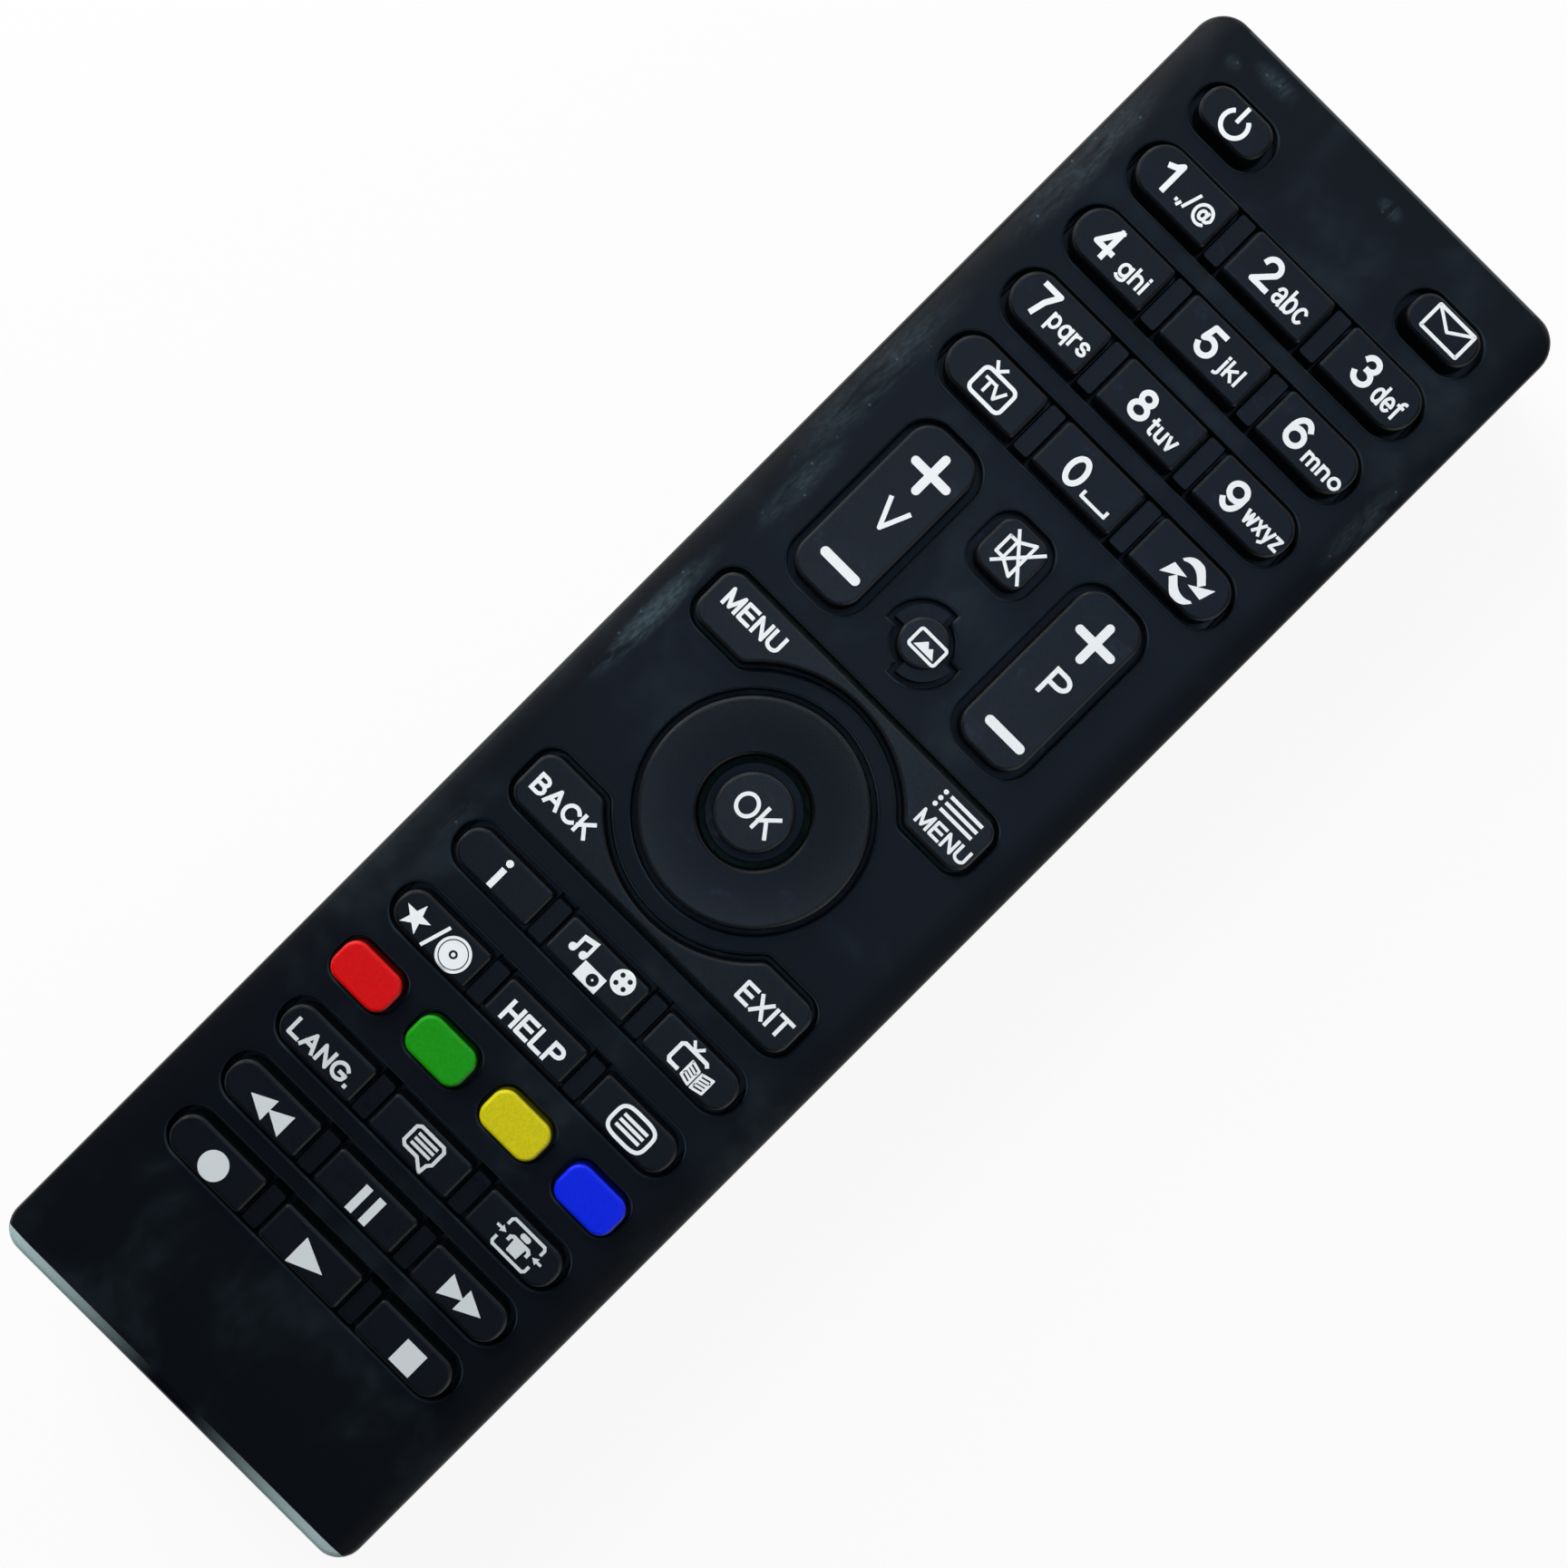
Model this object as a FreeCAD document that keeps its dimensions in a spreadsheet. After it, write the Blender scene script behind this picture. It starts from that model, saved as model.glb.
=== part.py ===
import FreeCAD, Part

import math
import os
import re

import Sketcher

# A remote control for a television box, lying on its back, in millimetres.
# X runs across it, Y along it towards the lamp in its head, Z up through the keys.
# The origin is under the middle of the case, on the surface that it lies on.

SIZES = {
    # case
    "case_length": 185.4,
    "case_width": 51.8,
    "head_corner": 3.6,
    "tail_corner": 3.0,
    "side_wall": 1.8,
    "floor_wall": 2.0,
    "face_wall": 1.8,
    "flat_width": 43.0,
    "crown_radius": 20.0,
    "face_round": 0.7,
    "slot_round": 0.3,
    "underside_round": 5.0,
    "inside_round": 3.0,
    "split_height": 8.4,
    "tongue_height": 1.6,
    "tongue_wall": 1.0,
    "tongue_gap": 0.15,
    "catch_length": 6.0,
    "catch_reach": 0.5,
    "catch_height": 0.8,
    "catch_lift": 0.5,
    "catch_pitch": 52.0,
    "catch_gap": 0.15,
    "least_corner": 1.0,
    "cut_over": 1.0,
    # what lies over what
    "seat_gap": 0.05,
    "cell_gap": 0.2,
    "bay_roof": 1.0,
    "board_lift": 0.3,
    "board_thickness": 1.0,
    "sheet_thickness": 0.95,
    "web_room": 1.6,
    "key_proud": 1.8,
    "key_travel": 0.8,
    "pill_thickness": 0.3,
    "pill_diameter": 3.2,
    # keys in rows of three
    "column_pitch": 14.4,
    "key_width": 11.5,
    "key_edge": 0.6,
    "key_round": 0.45,
    "end_flat": 0.15,
    "slot_width": 41.8,
    "slot_gap": 0.62,
    "foot_side": 0.2,
    "foot_reach": 1.0,
    "foot_height": 1.1,
    "rocker_foot": 0.5,
    "foot_gap": 0.3,
    "bridge_width": 2.0,
    "bridge_drop": 0.9,
    "digit_depth": 6.1,
    "digit_first": 46.1,
    "digit_pitch": 9.53,
    "lower_depth": 4.9,
    "info_row": -27.5,
    "star_row": -36.8,
    "language_row": -54.0,
    "wind_row": -62.25,
    "play_row": -70.5,
    # two short keys at the head
    "corner_key_width": 8.9,
    "corner_key_depth": 4.8,
    "corner_key_round": 2.1,
    "corner_key_apart": 31.1,
    "corner_key_row": 83.8,
    "corner_slot_gap": 0.8,
    # rockers, mute and the round picture key
    "rocker_width": 8.7,
    "rocker_depth": 21.8,
    "rocker_round": 2.8,
    "rocker_apart": 24.8,
    "rocker_row": 28.1,
    "rocker_slot_gap": 0.85,
    "mute_width": 6.6,
    "mute_round": 1.9,
    "mute_row": 34.7,
    "mute_slot_gap": 0.9,
    "picture_radius": 2.85,
    "wing_radius": 4.15,
    "wing_drop": 0.7,
    "picture_slot_gap": 0.65,
    "picture_row": 21.4,
    # bars and ring
    "ring_row": -4.05,
    "ring_radius": 12.5,
    "ring_bore": 6.05,
    "ring_dish": 60.0,
    "ring_sink": 0.45,
    "ring_slot_gap": 0.7,
    "ring_round": 0.5,
    "ok_radius": 4.4,
    "ok_foot": 0.9,
    "web_inner": 6.1,
    "web_outer": 6.9,
    "web_thickness": 0.25,
    "web_gap": 0.47,
    "bar_width": 40.3,
    "bar_near": 10.25,
    "bar_far": 17.1,
    "bar_arc": 15.9,
    "bar_corner": 2.0,
    "bar_blend": 1.4,
    "bar_slot_gap": 0.65,
    "bar_foot": 0.35,
    "bar_pill_inset": 4.8,
    # colour keys
    "colour_width": 8.0,
    "colour_depth": 5.0,
    "colour_round": 1.8,
    "colour_pitch": 11.17,
    "colour_row": -45.4,
    "colour_slot_gap": 0.4,
    # sheet and board
    "sheet_side": 0.9,
    "sheet_head": 1.4,
    "sheet_tail": -82.0,
    "board_side": 0.6,
    "board_head": 1.1,
    "board_tail": -82.6,
    "board_corner": 1.5,
    "pin_diameter": 2.0,
    "pin_shoulder": 4.0,
    "pin_gap": 0.2,
    "pin_depth": 0.8,
    "pin_head_apart": 12.0,
    "pin_tail_apart": 32.0,
    "pin_tail_row": -78.6,
    "post_diameter": 4.0,
    "post_apart": 40.0,
    "post_first": -12.0,
    "post_pitch": 46.0,
    # cells, contacts and cover
    "cell_diameter": 10.3,
    "cell_length": 44.5,
    "cell_button": 3.8,
    "cell_button_height": 0.9,
    "cell_button_root": 1.0,
    "cell_round": 0.5,
    "cell_apart": 10.7,
    "cell_side": 0.3,
    "contact_sheet": 0.4,
    "contact_width": 8.4,
    "contact_depth": 8.6,
    "leg_width": 1.6,
    "leg_gap": 0.3,
    "spring_length": 4.2,
    "spring_wire": 0.6,
    "spring_wide": 6.6,
    "spring_narrow": 4.0,
    "spring_turns": 3.5,
    "bay_wall": 1.2,
    "bay_tail": -89.4,
    "cover_width": 31.0,
    "cover_rail": 1.2,
    "cover_lip": 0.9,
    "cover_front": -36.8,
    "cover_gap": 0.15,
    "cover_end_wall": 1.2,
    "cover_end_height": 6.0,
    "grip_width": 14.0,
    "grip_pitch": 1.6,
    "grip_first": 9.0,
    "grip_depth": 0.35,
    # lamp, window and small components
    "lamp_diameter": 5.0,
    "lamp_rim": 0.4,
    "lamp_rim_length": 1.0,
    "lamp_length": 8.6,
    "lamp_height": 10.8,
    "lamp_gap": 0.3,
    "lead_size": 0.5,
    "lead_apart": 2.54,
    "lead_run": 1.4,
    "lead_hole_gap": 0.2,
    "window_width": 14.0,
    "window_depth": 4.2,
    "window_low": 8.9,
    "window_edge": 1.0,
    "window_flange": 0.8,
    "window_gap": 0.1,
    "window_room": 0.3,
    "chip_width": 7.5,
    "chip_length": 18.0,
    "chip_height": 2.3,
    "chip_row": 12.0,
    "chip_stand": 0.1,
    "chip_leg": 0.4,
    "chip_leg_reach": 1.3,
    "chip_leg_pitch": 1.27,
    "resonator_width": 7.0,
    "resonator_depth": 3.0,
    "resonator_height": 3.4,
    "resonator_row": 34.0,
    "capacitor_diameter": 5.0,
    "capacitor_length": 9.0,
    "capacitor_row": 58.0,
    "resistor_length": 2.0,
    "resistor_width": 1.25,
    "resistor_height": 0.55,
    "resistor_row": 68.0,
    "resistor_pitch": 4.0,
}

# heights and edges that follow from the sizes, each worked out on its own sheet
LEVELS = {
    "cell_low": "floor_wall + cell_gap",
    "cell_axis": "cell_low + cell_diameter / 2",
    "bay_ceiling": "cell_low + cell_diameter + cell_gap",
    "board_low": "bay_ceiling + bay_roof + board_lift",
    "board_high": "board_low + board_thickness",
    "sheet_low": "board_high + seat_gap",
    "sheet_high": "sheet_low + sheet_thickness",
    "key_foot": "board_high + seat_gap + key_travel + pill_thickness",
    "face_low": "sheet_high + web_room",
    "face_high": "face_low + face_wall",
    "key_high": "face_high + key_proud",
    "inner_side": "case_width / 2 - side_wall",
    "inner_end": "case_length / 2 - side_wall",
    "bay_side": "cell_apart / 2 + cell_diameter / 2 + cell_side",
    "bay_head": "bay_tail + cell_length + spring_length + 2 * contact_sheet + 5 * seat_gap",
    "cover_high": "floor_wall - cover_gap",
    "ring_slot": "ring_radius + ring_slot_gap",
    "window_high": "window_low + window_depth",
    "lamp_tip": "inner_end - seat_gap - window_flange - lamp_gap",
}

doc = FreeCAD.newDocument("remote_control")


def fill_sheet(name, cells):
    """A sheet with a name, a value and an alias in each row."""
    sheet = doc.addObject("Spreadsheet::Sheet", name)
    for row, (alias, content) in enumerate(cells.items(), start=1):
        sheet.set(f"A{row}", alias.replace("_", " "))
        sheet.set(f"B{row}", content)
        sheet.setAlias(f"B{row}", alias)
    doc.recompute()
    return sheet


def tied(text):
    """The expression with each bare size or level looked up on its sheet."""

    def look_up(match):
        word = match.group(0)
        if word in SIZES:
            return "Sizes." + word
        if word in LEVELS:
            return "Levels." + word
        return word

    return re.sub(r"[a-z_]+", look_up, str(text))


def level_row(name):
    """A level's formula, written for a cell of its own sheet."""
    return "=" + tied(LEVELS[name]).replace("Levels.", "")


sizes = fill_sheet("Sizes", {name: str(number) for name, number in SIZES.items()})
levels = fill_sheet("Levels", {name: level_row(name) for name in LEVELS})


def value(text):
    """The number that an expression has now."""
    return float(sizes.evalExpression(tied(text)))


def point(x, y):
    return FreeCAD.Vector(value(x), value(y), 0)


def new_body(name):
    return doc.addObject("PartDesign::Body", name)


def origin_feature(body, role):
    return next(f for f in body.Origin.OriginFeatures if f.Role == role)


class Drawing:
    """A sketch on one of a body's own planes. Its lines and rules are gathered, then added at once."""

    def __init__(self, body, name, offset="0", plane="XY_Plane"):
        self.sketch = body.newObject("Sketcher::SketchObject", name)
        self.sketch.AttachmentSupport = [(origin_feature(body, plane), "")]
        self.sketch.MapMode = "FlatFace"
        self.sketch.setExpression("AttachmentOffset.Base.z", tied(offset))
        self.shapes = []
        self.rules = []
        self.ties = []

    def draw(self, shape):
        """Adds a line, arc or circle and gives its number."""
        self.shapes.append(shape)
        return len(self.shapes) - 1

    def line(self, start, end):
        return self.draw(Part.LineSegment(start, end))

    def arc(self, centre, radius, start, end):
        """An arc between two angles in degrees, turning left."""
        circle = Part.Circle(centre, FreeCAD.Vector(0, 0, 1), radius)
        return self.draw(Part.ArcOfCircle(circle, math.radians(start), math.radians(end)))

    def rule(self, kind, *parts):
        self.rules.append(Sketcher.Constraint(kind, *parts))

    def bind(self, kind, *parts, to):
        """Adds a dimension and ties it to an expression."""
        self.ties.append((len(self.rules), tied(to)))
        self.rule(kind, *parts, value(to))

    def place(self, shape, corner, x, y):
        """Ties a point of the drawing to a place measured from its origin."""
        self.bind("DistanceX", -1, 1, shape, corner, to=x)
        self.bind("DistanceY", -1, 1, shape, corner, to=y)

    def link(self, kind, start, end):
        """A straight line from the end of one arc to the start of another."""
        index = self.line(self.shapes[start].EndPoint, self.shapes[end].StartPoint)
        self.rule(kind, start, 2, index, 1)
        self.rule(kind, index, 2, end, 1)
        return index

    def finished(self):
        """The drawing, with all that was gathered."""
        self.sketch.addGeometry(self.shapes, False)
        self.sketch.addConstraint(self.rules)
        for index, text in self.ties:
            self.sketch.setExpression(f"Constraints[{index}]", text)
        return self.sketch


def add_circle(drawing, x, y, radius):
    index = drawing.draw(Part.Circle(point(x, y), FreeCAD.Vector(0, 0, 1), value(radius)))
    drawing.place(index, 3, x, y)
    drawing.bind("Radius", index, to=radius)


def add_chain(drawing, corners):
    """Straight lines through the corners and back to the first, every corner tied."""
    points = [point(*corner) for corner in corners]
    lines = [drawing.line(*ends) for ends in zip(points, points[1:] + points[:1])]
    for line, following in zip(lines, lines[1:] + lines[:1]):
        drawing.rule("Coincident", line, 2, following, 1)
    for line, (x, y) in zip(lines, corners):
        drawing.place(line, 1, x, y)


def add_rectangle(drawing, left, right, low, high):
    add_chain(drawing, [(left, low), (right, low), (right, high), (left, high)])


def add_rounded(drawing, left, right, low, high, radii):
    """A rectangle with round corners, whose radii go low left, low right, high right, high left."""
    centres = [
        (f"({left}) + ({radii[0]})", f"({low}) + ({radii[0]})"),
        (f"({right}) - ({radii[1]})", f"({low}) + ({radii[1]})"),
        (f"({right}) - ({radii[2]})", f"({high}) - ({radii[2]})"),
        (f"({left}) + ({radii[3]})", f"({high}) - ({radii[3]})"),
    ]
    arcs = []
    for turn, (centre, radius) in enumerate(zip(centres, radii)):
        angles = (180 + 90 * turn, 270 + 90 * turn)
        arcs.append(drawing.arc(point(*centre), value(radius), *angles))
    for number, (arc, following) in enumerate(zip(arcs, arcs[1:] + arcs[:1])):
        side = drawing.link("Tangent", arc, following)
        drawing.rule("Vertical" if number % 2 else "Horizontal", side)
    for arc, radius in zip(arcs, radii):
        drawing.bind("Radius", arc, to=radius)
    for corner in (0, 2):
        drawing.place(arcs[corner], 3, *centres[corner])


def add_pad_outline(drawing, x, y, width, depth, radius, grow="0"):
    """A rounded rectangle about a centre, grown by the same amount on every side."""
    half_x = f"(({width}) / 2 + ({grow}))"
    half_y = f"(({depth}) / 2 + ({grow}))"
    corner = f"({radius}) + ({grow})"
    add_rounded(
        drawing,
        f"({x}) - {half_x}",
        f"({x}) + {half_x}",
        f"({y}) - {half_y}",
        f"({y}) + {half_y}",
        [corner] * 4,
    )


def add_row_slot(drawing, y, depth):
    """The long slot of a row of three keys, round at both ends."""
    half = f"(({depth}) / 2 + slot_gap)"
    add_rounded(
        drawing,
        "-slot_width / 2",
        "slot_width / 2",
        f"({y}) - {half}",
        f"({y}) + {half}",
        [f"{half} - end_flat"] * 4,
    )


def add_row_key(drawing, side, depth):
    """A key of a row of three: the outer end of the left and the right key is round."""
    outer = f"({depth}) / 2 - end_flat"
    left = outer if side == "left" else "key_edge"
    right = outer if side == "right" else "key_edge"
    add_rounded(
        drawing,
        "-key_width / 2",
        "key_width / 2",
        f"-({depth}) / 2",
        f"({depth}) / 2",
        [left, right, right, left],
    )


def add_bar(drawing, flip, centre, grow):
    """A bar beside the ring, with a hollow that follows it. flip is 1 towards the head, else -1."""
    near = f"(bar_near - ({grow}))"
    far = f"(bar_far + ({grow}))"
    half = f"(bar_width / 2 + ({grow}))"
    hollow = f"(bar_arc - ({grow}))"
    corner = f"(bar_corner + ({grow}))"
    w, n, f, r, c, b = (value(size) for size in (half, near, far, hollow, corner, "bar_blend"))
    turn = 0 if flip > 0 else 180
    middle = value(centre)

    def arc(x, y, radius, start, end):
        place = FreeCAD.Vector(flip * x, middle + flip * y, 0)
        return drawing.arc(place, radius, start + turn, end + turn)

    blend_y = n + b
    blend_x = math.sqrt((r + b) ** 2 - blend_y**2)
    lean = math.degrees(math.atan2(blend_y, blend_x))
    low_left = arc(-w + c, n + c, c, 180, 270)
    blend_left = arc(-blend_x, blend_y, b, -90, -lean)
    inside = arc(0, 0, r, lean, 180 - lean)
    blend_right = arc(blend_x, blend_y, b, lean - 180, -90)
    low_right = arc(w - c, n + c, c, 270, 360)
    high_right = arc(w - c, f - c, c, 0, 90)
    high_left = arc(-w + c, f - c, c, 90, 180)
    flats = ((low_left, blend_left), (blend_right, low_right), (high_right, high_left))
    for start, end in flats:
        drawing.rule("Horizontal", drawing.link("Tangent", start, end))
    for start, end in ((low_right, high_right), (high_left, low_left)):
        drawing.rule("Vertical", drawing.link("Tangent", start, end))
    drawing.rule("Tangent", blend_left, 2, inside, 2)
    drawing.rule("Tangent", inside, 1, blend_right, 1)
    for corner_arc in (low_left, low_right, high_right, high_left):
        drawing.bind("Radius", corner_arc, to=corner)
    for blend_arc in (blend_left, blend_right):
        drawing.bind("Radius", blend_arc, to="bar_blend")
    drawing.bind("Radius", inside, to=hollow)
    drawing.place(inside, 3, "0", centre)
    side = f"{flip} * ({half} - {corner})"
    low = f"({centre}) + {flip} * ({near} + {corner})"
    high = f"({centre}) + {flip} * ({far} - {corner})"
    drawing.place(low_right, 3, side, low)
    drawing.place(high_left, 3, f"-({side})", high)
    drawing.bind("DistanceY", -1, 1, low_left, 3, to=low)


def add_pinwheel(drawing, x, y, grow):
    """A disc with two quarter wings, all of it grown by one amount."""
    inner = f"(picture_radius + ({grow}))"
    outer = f"(wing_radius + ({grow}))"
    edge = math.degrees(math.asin(value(grow) / value(outer)))
    inset = math.degrees(math.asin(value(grow) / value(inner)))
    arcs = []
    for turn in (0, 180):
        wing = (turn + 90 - edge, turn + 180 + edge)
        disc = (turn + 180 + inset, turn + 270 - inset)
        arcs.append(drawing.arc(point(x, y), value(outer), *wing))
        arcs.append(drawing.arc(point(x, y), value(inner), *disc))
    for arc, radius in zip(arcs, (outer, inner) * 2):
        drawing.bind("Radius", arc, to=radius)
        drawing.place(arc, 3, x, y)
    for number, (arc, following) in enumerate(zip(arcs, arcs[1:] + arcs[:1])):
        step = drawing.link("Coincident", arc, following)
        sign = -1 if number < 2 else 1
        if number % 2:
            drawing.rule("Vertical", step)
            drawing.bind("DistanceX", -1, 1, step, 1, to=f"({x}) + {sign} * ({grow})")
        else:
            drawing.rule("Horizontal", step)
            drawing.bind("DistanceY", -1, 1, step, 1, to=f"({y}) + {sign} * ({grow})")


def pad(body, drawing, length, name):
    """Raises the drawing along its normal."""
    feature = body.newObject("PartDesign::Pad", name)
    feature.Profile = drawing.finished()
    feature.setExpression("Length", tied(length))
    return feature


def solid_volume(body):
    doc.recompute()
    return body.Shape.Volume


def pocket(body, drawing, length, name, upward=False):
    """Cuts the drawing out, down from it or up, and makes sure that something was cut."""
    before = solid_volume(body)
    feature = body.newObject("PartDesign::Pocket", name)
    feature.Profile = drawing.finished()
    feature.Reversed = upward
    feature.setExpression("Length", tied(length))
    if solid_volume(body) > before - LEAST_CUT:
        raise ValueError(name + " cuts nothing")
    return feature


def edges_at(body, height, keep=lambda edge: True):
    """Names of the edges that lie at one height."""
    doc.recompute()
    names = []
    for number, edge in enumerate(body.Tip.Shape.Edges, start=1):
        box = edge.BoundBox
        flat = abs(box.ZMin - height) < NEAR and abs(box.ZMax - height) < NEAR
        if flat and keep(edge):
            names.append(f"Edge{number}")
    return names


def fillet(body, names, radius, name):
    base = body.Tip
    feature = body.newObject("PartDesign::Fillet", name)
    feature.Base = (base, names)
    feature.setExpression("Radius", tied(radius))
    doc.recompute()
    return feature


def outside_corners():
    """Radii of the case's upright corners, tail first."""
    return ["tail_corner", "tail_corner", "head_corner", "head_corner"]


def add_case_outline(drawing, inset="0"):
    """The plan of the case, drawn in by one wall or more."""
    add_rounded(
        drawing,
        f"-(case_width / 2 - ({inset}))",
        f"case_width / 2 - ({inset})",
        f"-(case_length / 2 - ({inset}))",
        f"case_length / 2 - ({inset})",
        [f"max({corner} - ({inset}); least_corner)" for corner in outside_corners()],
    )


DIGIT_ROWS = [f"digit_first + {step} * digit_pitch" for step in range(4)]
LOWER_ROWS = ["info_row", "star_row", "language_row", "wind_row", "play_row"]
COLUMNS = {"left": "-column_pitch", "middle": "0", "right": "column_pitch"}
COLOUR_PLACES = [f"{step} * colour_pitch" for step in (-1.5, -0.5, 0.5, 1.5)]
PINS = [
    ("-pin_head_apart / 2", "corner_key_row"),
    ("pin_head_apart / 2", "corner_key_row"),
    ("-pin_tail_apart / 2", "pin_tail_row"),
    ("pin_tail_apart / 2", "pin_tail_row"),
]
LEADS = ["-lead_apart / 2", "lead_apart / 2"]
LEAD_ROW = "lamp_tip - lamp_length - lead_run"
LEG_PLACES = ["-cell_apart / 2", "cell_apart / 2"]
CONTACT_ROW = "bay_head - seat_gap - contact_sheet"
CHIP_LEGS = 14
GRIP_GROOVES = 5
QUARTERS = 4
NEAR = 1e-3
LEAST_CUT = 1e-6


def add_face_slots(body):
    """Every opening that a key stands in, cut down through the face."""
    depth = "face_wall + cut_over"
    groups = {
        "digit_slots": [(y, "digit_depth") for y in DIGIT_ROWS],
        "lower_slots": [(y, "lower_depth") for y in LOWER_ROWS],
    }
    for name, rows in groups.items():
        drawing = Drawing(body, name + "_outline", "face_high")
        for y, row_depth in rows:
            add_row_slot(drawing, y, row_depth)
        pocket(body, drawing, depth, name)

    drawing = Drawing(body, "upper_slots_outline", "face_high")
    for side in ("-", ""):
        add_pad_outline(
            drawing,
            side + "corner_key_apart / 2",
            "corner_key_row",
            "corner_key_width",
            "corner_key_depth",
            "corner_key_round",
            "corner_slot_gap",
        )
        add_pad_outline(
            drawing,
            side + "rocker_apart / 2",
            "rocker_row",
            "rocker_width",
            "rocker_depth",
            "rocker_round",
            "rocker_slot_gap",
        )
    add_pad_outline(
        drawing, "0", "mute_row", "mute_width", "mute_width", "mute_round", "mute_slot_gap"
    )
    add_pinwheel(drawing, "0", "picture_row", "picture_slot_gap")
    pocket(body, drawing, depth, "upper_slots")

    drawing = Drawing(body, "ring_slots_outline", "face_high")
    add_circle(drawing, "0", "ring_row", "ring_slot")
    for flip in (1, -1):
        add_bar(drawing, flip, "ring_row", "bar_slot_gap")
    pocket(body, drawing, depth, "ring_slots")

    drawing = Drawing(body, "colour_slots_outline", "face_high")
    for x in COLOUR_PLACES:
        add_pad_outline(
            drawing,
            x,
            "colour_row",
            "colour_width",
            "colour_depth",
            "colour_round",
            "colour_slot_gap",
        )
    pocket(body, drawing, depth, "colour_slots")


def add_crowned_section(drawing):
    """The top case seen from its end: upright sides, a flat top and an arc down to each side."""
    half, flat = value("case_width / 2"), value("flat_width / 2")
    low, high = value("split_height"), value("face_high")
    radius = value("crown_radius")
    shoulder = high - radius + math.sqrt(radius**2 - (half - flat) ** 2)
    lean = math.degrees(math.asin((half - flat) / radius))

    def spot(x, y):
        return FreeCAD.Vector(x, y, 0)

    bottom = drawing.line(spot(-half, low), spot(half, low))
    right = drawing.line(spot(half, low), spot(half, shoulder))
    right_arc = drawing.arc(spot(flat, high - radius), radius, 90 - lean, 90)
    top = drawing.line(spot(flat, high), spot(-flat, high))
    left_arc = drawing.arc(spot(-flat, high - radius), radius, 90, 90 + lean)
    left = drawing.line(spot(-half, shoulder), spot(-half, low))
    drawing.rule("Coincident", bottom, 2, right, 1)
    drawing.rule("Coincident", right, 2, right_arc, 1)
    drawing.rule("Tangent", right_arc, 2, top, 1)
    drawing.rule("Tangent", top, 2, left_arc, 1)
    drawing.rule("Coincident", left_arc, 2, left, 1)
    drawing.rule("Coincident", left, 2, bottom, 1)
    for level in (bottom, top):
        drawing.rule("Horizontal", level)
    for upright in (right, left):
        drawing.rule("Vertical", upright)
    for arc in (right_arc, left_arc):
        drawing.bind("Radius", arc, to="crown_radius")
    drawing.place(bottom, 1, "-case_width / 2", "split_height")
    drawing.bind("DistanceX", -1, 1, bottom, 2, to="case_width / 2")
    drawing.place(top, 1, "flat_width / 2", "face_high")
    drawing.bind("DistanceX", -1, 1, top, 2, to="-flat_width / 2")


def round_upright_corners(body):
    """Rounds the four upright corners of the case, the head's more than the tail's."""
    for end, radius in (("head", "head_corner"), ("tail", "tail_corner")):
        doc.recompute()
        sign = 1 if end == "head" else -1
        names = []
        for number, edge in enumerate(body.Tip.Shape.Edges, start=1):
            box = edge.BoundBox
            upright = box.XLength < NEAR and box.YLength < NEAR
            if upright and sign * box.YMax > 0:
                names.append(f"Edge{number}")
        fillet(body, names, radius, end + "_corners")


def round_face_rim(body):
    """Rounds the closed edge where the sides meet the face."""
    doc.recompute()
    lowest = value("face_high - face_wall")
    half_x, half_y = value("case_width / 2"), value("case_length / 2")
    corner = max(value("head_corner"), value("tail_corner"))
    names = []
    for number, edge in enumerate(body.Tip.Shape.Edges, start=1):
        box = edge.BoundBox
        high = box.ZMin > lowest
        side = min(abs(box.XMin), abs(box.XMax)) > half_x - corner - NEAR
        end = min(abs(box.YMin), abs(box.YMax)) > half_y - corner - NEAR
        if high and (end or side and box.XLength < NEAR):
            names.append(f"Edge{number}")
    fillet(body, names, "face_round", "face_rim")


def make_top_case():
    """The upper shell: a crowned face, upright walls, slots, locating pins and catch pockets."""
    body = new_body("top_case")
    section = Drawing(body, "crowned_section", "0", "XZ_Plane")
    add_crowned_section(section)
    shell = pad(body, section, "case_length", "crowned_block")
    shell.SideType = "Symmetric"
    round_upright_corners(body)
    round_face_rim(body)

    drawing = Drawing(body, "cavity_outline", "split_height")
    add_case_outline(drawing, "side_wall")
    pocket(body, drawing, "face_low - split_height", "cavity", upward=True)
    add_face_slots(body)
    flat = value("flat_width / 2")
    inside = value("inner_end")
    names = edges_at(
        body,
        value("face_high"),
        lambda edge: max(abs(edge.BoundBox.XMin), abs(edge.BoundBox.XMax)) < flat - NEAR
        and abs(edge.BoundBox.YMax) < inside,
    )
    fillet(body, names, "slot_round", "slot_rims")

    for name, diameter, low in (
        ("pin_shoulders", "pin_shoulder", "sheet_high + seat_gap"),
        ("pins", "pin_diameter", "board_low - pin_depth"),
    ):
        drawing = Drawing(body, name + "_outline", low)
        for x, y in PINS:
            add_circle(drawing, x, y, diameter + " / 2")
        pad(body, drawing, f"face_low - ({low})", name)

    drawing = Drawing(body, "catch_pockets_outline", "split_height + catch_lift - catch_gap")
    near = "inner_side - catch_reach"
    far = "inner_side - tongue_gap + catch_reach + catch_gap"
    add_catches(drawing, near, far, "catch_gap")
    pocket(body, drawing, "catch_height + 2 * catch_gap", "catch_pockets", upward=True)

    drawing = Drawing(body, "window_opening_outline", "-case_length / 2 - cut_over", "XZ_Plane")
    add_rectangle(
        drawing,
        "-window_width / 2",
        "window_width / 2",
        "window_low",
        "window_high",
    )
    pocket(body, drawing, "side_wall + 2 * cut_over", "window_opening", upward=True)
    return body


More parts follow.
